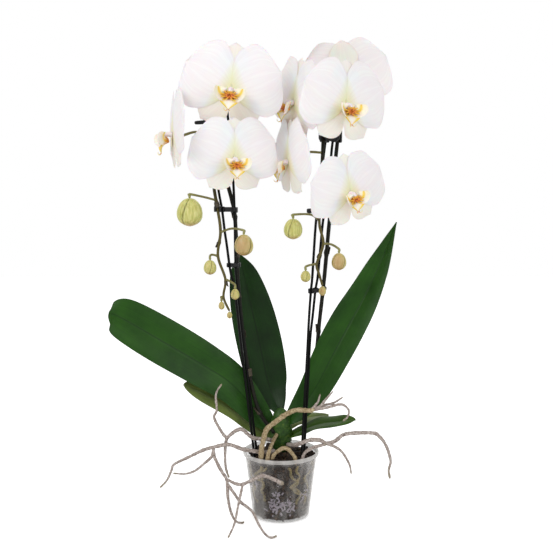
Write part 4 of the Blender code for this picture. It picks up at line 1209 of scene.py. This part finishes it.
def addClips():
    for name in clipPlaces:
        addPiece(f"clip_{name}_jaws", clipShape(name), clipPlastic, f"clip_{name}")
    print("clips: done")


# powers in watts, places in metres, pitch in degrees below level, lens in mm
studio = {"floorSize": 7.0, "keyPower": 23.0, "fillPower": 9.0, "backPower": 8.0,
          "ambient": 0.56, "floorWhite": "#F4F4F4", "floorLift": 0.55,
          "eye": (-0.007, -1.392, 0.531), "pitch": 6.13, "lens": 58.6}


def seenPlainly(tree):
    # 1 for camera, glossy and transmitted rays, 0 for the rays that light the plant
    rays = addNode(tree, "LightPath").outputs
    seen = arithmetic(tree, "MAXIMUM", rays["Is Camera Ray"], rays["Is Glossy Ray"])
    return arithmetic(tree, "MAXIMUM", seen, rays["Is Transmission Ray"])


def addStage():
    mesh = bpy.data.meshes.new("studioFloor")
    reach = studio["floorSize"] / 2
    mesh.from_pydata([(-reach, -reach, 0), (reach, -reach, 0), (reach, reach, 0), (-reach, reach, 0)],
                     [], [(0, 1, 2, 3)])
    floor = linked("studioFloor", mesh)
    # white paper, lifted to full white where it is seen plainly; its shadow stays
    material, tree, shader = newMaterial("studioPaper", 0.9, {"Base Color": linear(studio["floorWhite"])})
    lift = arithmetic(tree, "MULTIPLY", seenPlainly(tree), studio["floorLift"])
    glow = addNode(tree, "Emission", {"Color": (1, 1, 1, 1)}, {"Strength": lift})
    both = addNode(tree, "AddShader", {}, {0: shader.outputs[0], 1: glow.outputs[0]})
    tree.links.new(both.outputs[0], tree.nodes["Material Output"].inputs["Surface"])
    mesh.materials.append(material)

    world = bpy.data.worlds.new("studioAir")
    bpy.context.scene.world = world
    world.use_nodes = True
    background = world.node_tree.nodes["Background"]
    background.inputs["Color"].default_value = (1, 1, 1, 1)
    strength = mapRange(world.node_tree, seenPlainly(world.node_tree), 0.0, 1.0, studio["ambient"], 1.0)
    world.node_tree.links.new(strength, background.inputs["Strength"])


def addLamp(name, place, size, power):
    # round softbox turned towards the middle of the plant
    light = bpy.data.lights.new(name, "AREA")
    light.shape = "DISK"
    light.size = size
    light.energy = power
    lamp = linked(name, light)
    lamp.location = place
    lamp.rotation_euler = (Vector((0, 0, 0.4)) - Vector(place)).to_track_quat("-Z", "Y").to_euler()


def addCamera():
    data = bpy.data.cameras.new("camera")
    data.lens = studio["lens"]
    data.sensor_width = 36
    camera = linked("camera", data)
    camera.location = studio["eye"]
    camera.rotation_euler = (math.radians(90 - studio["pitch"]), 0, 0)
    bpy.context.scene.camera = camera


addFlowers()
addLeaves()
addStems()
addBuds()
addRoots()
addCrown()
addPot()
addBark()
addHoops()
addClips()
addStage()
addLamp("keySoftbox", (-1.3, -1.7, 1.9), 1.3, studio["keyPower"])
addLamp("fillSoftbox", (1.6, -1.3, 1.1), 1.4, studio["fillPower"])
addLamp("backSoftbox", (0.5, 1.7, 1.6), 1.4, studio["backPower"])
addCamera()
bpy.context.scene.view_settings.view_transform = "Standard"
print("stage: floor, lights and camera are set")
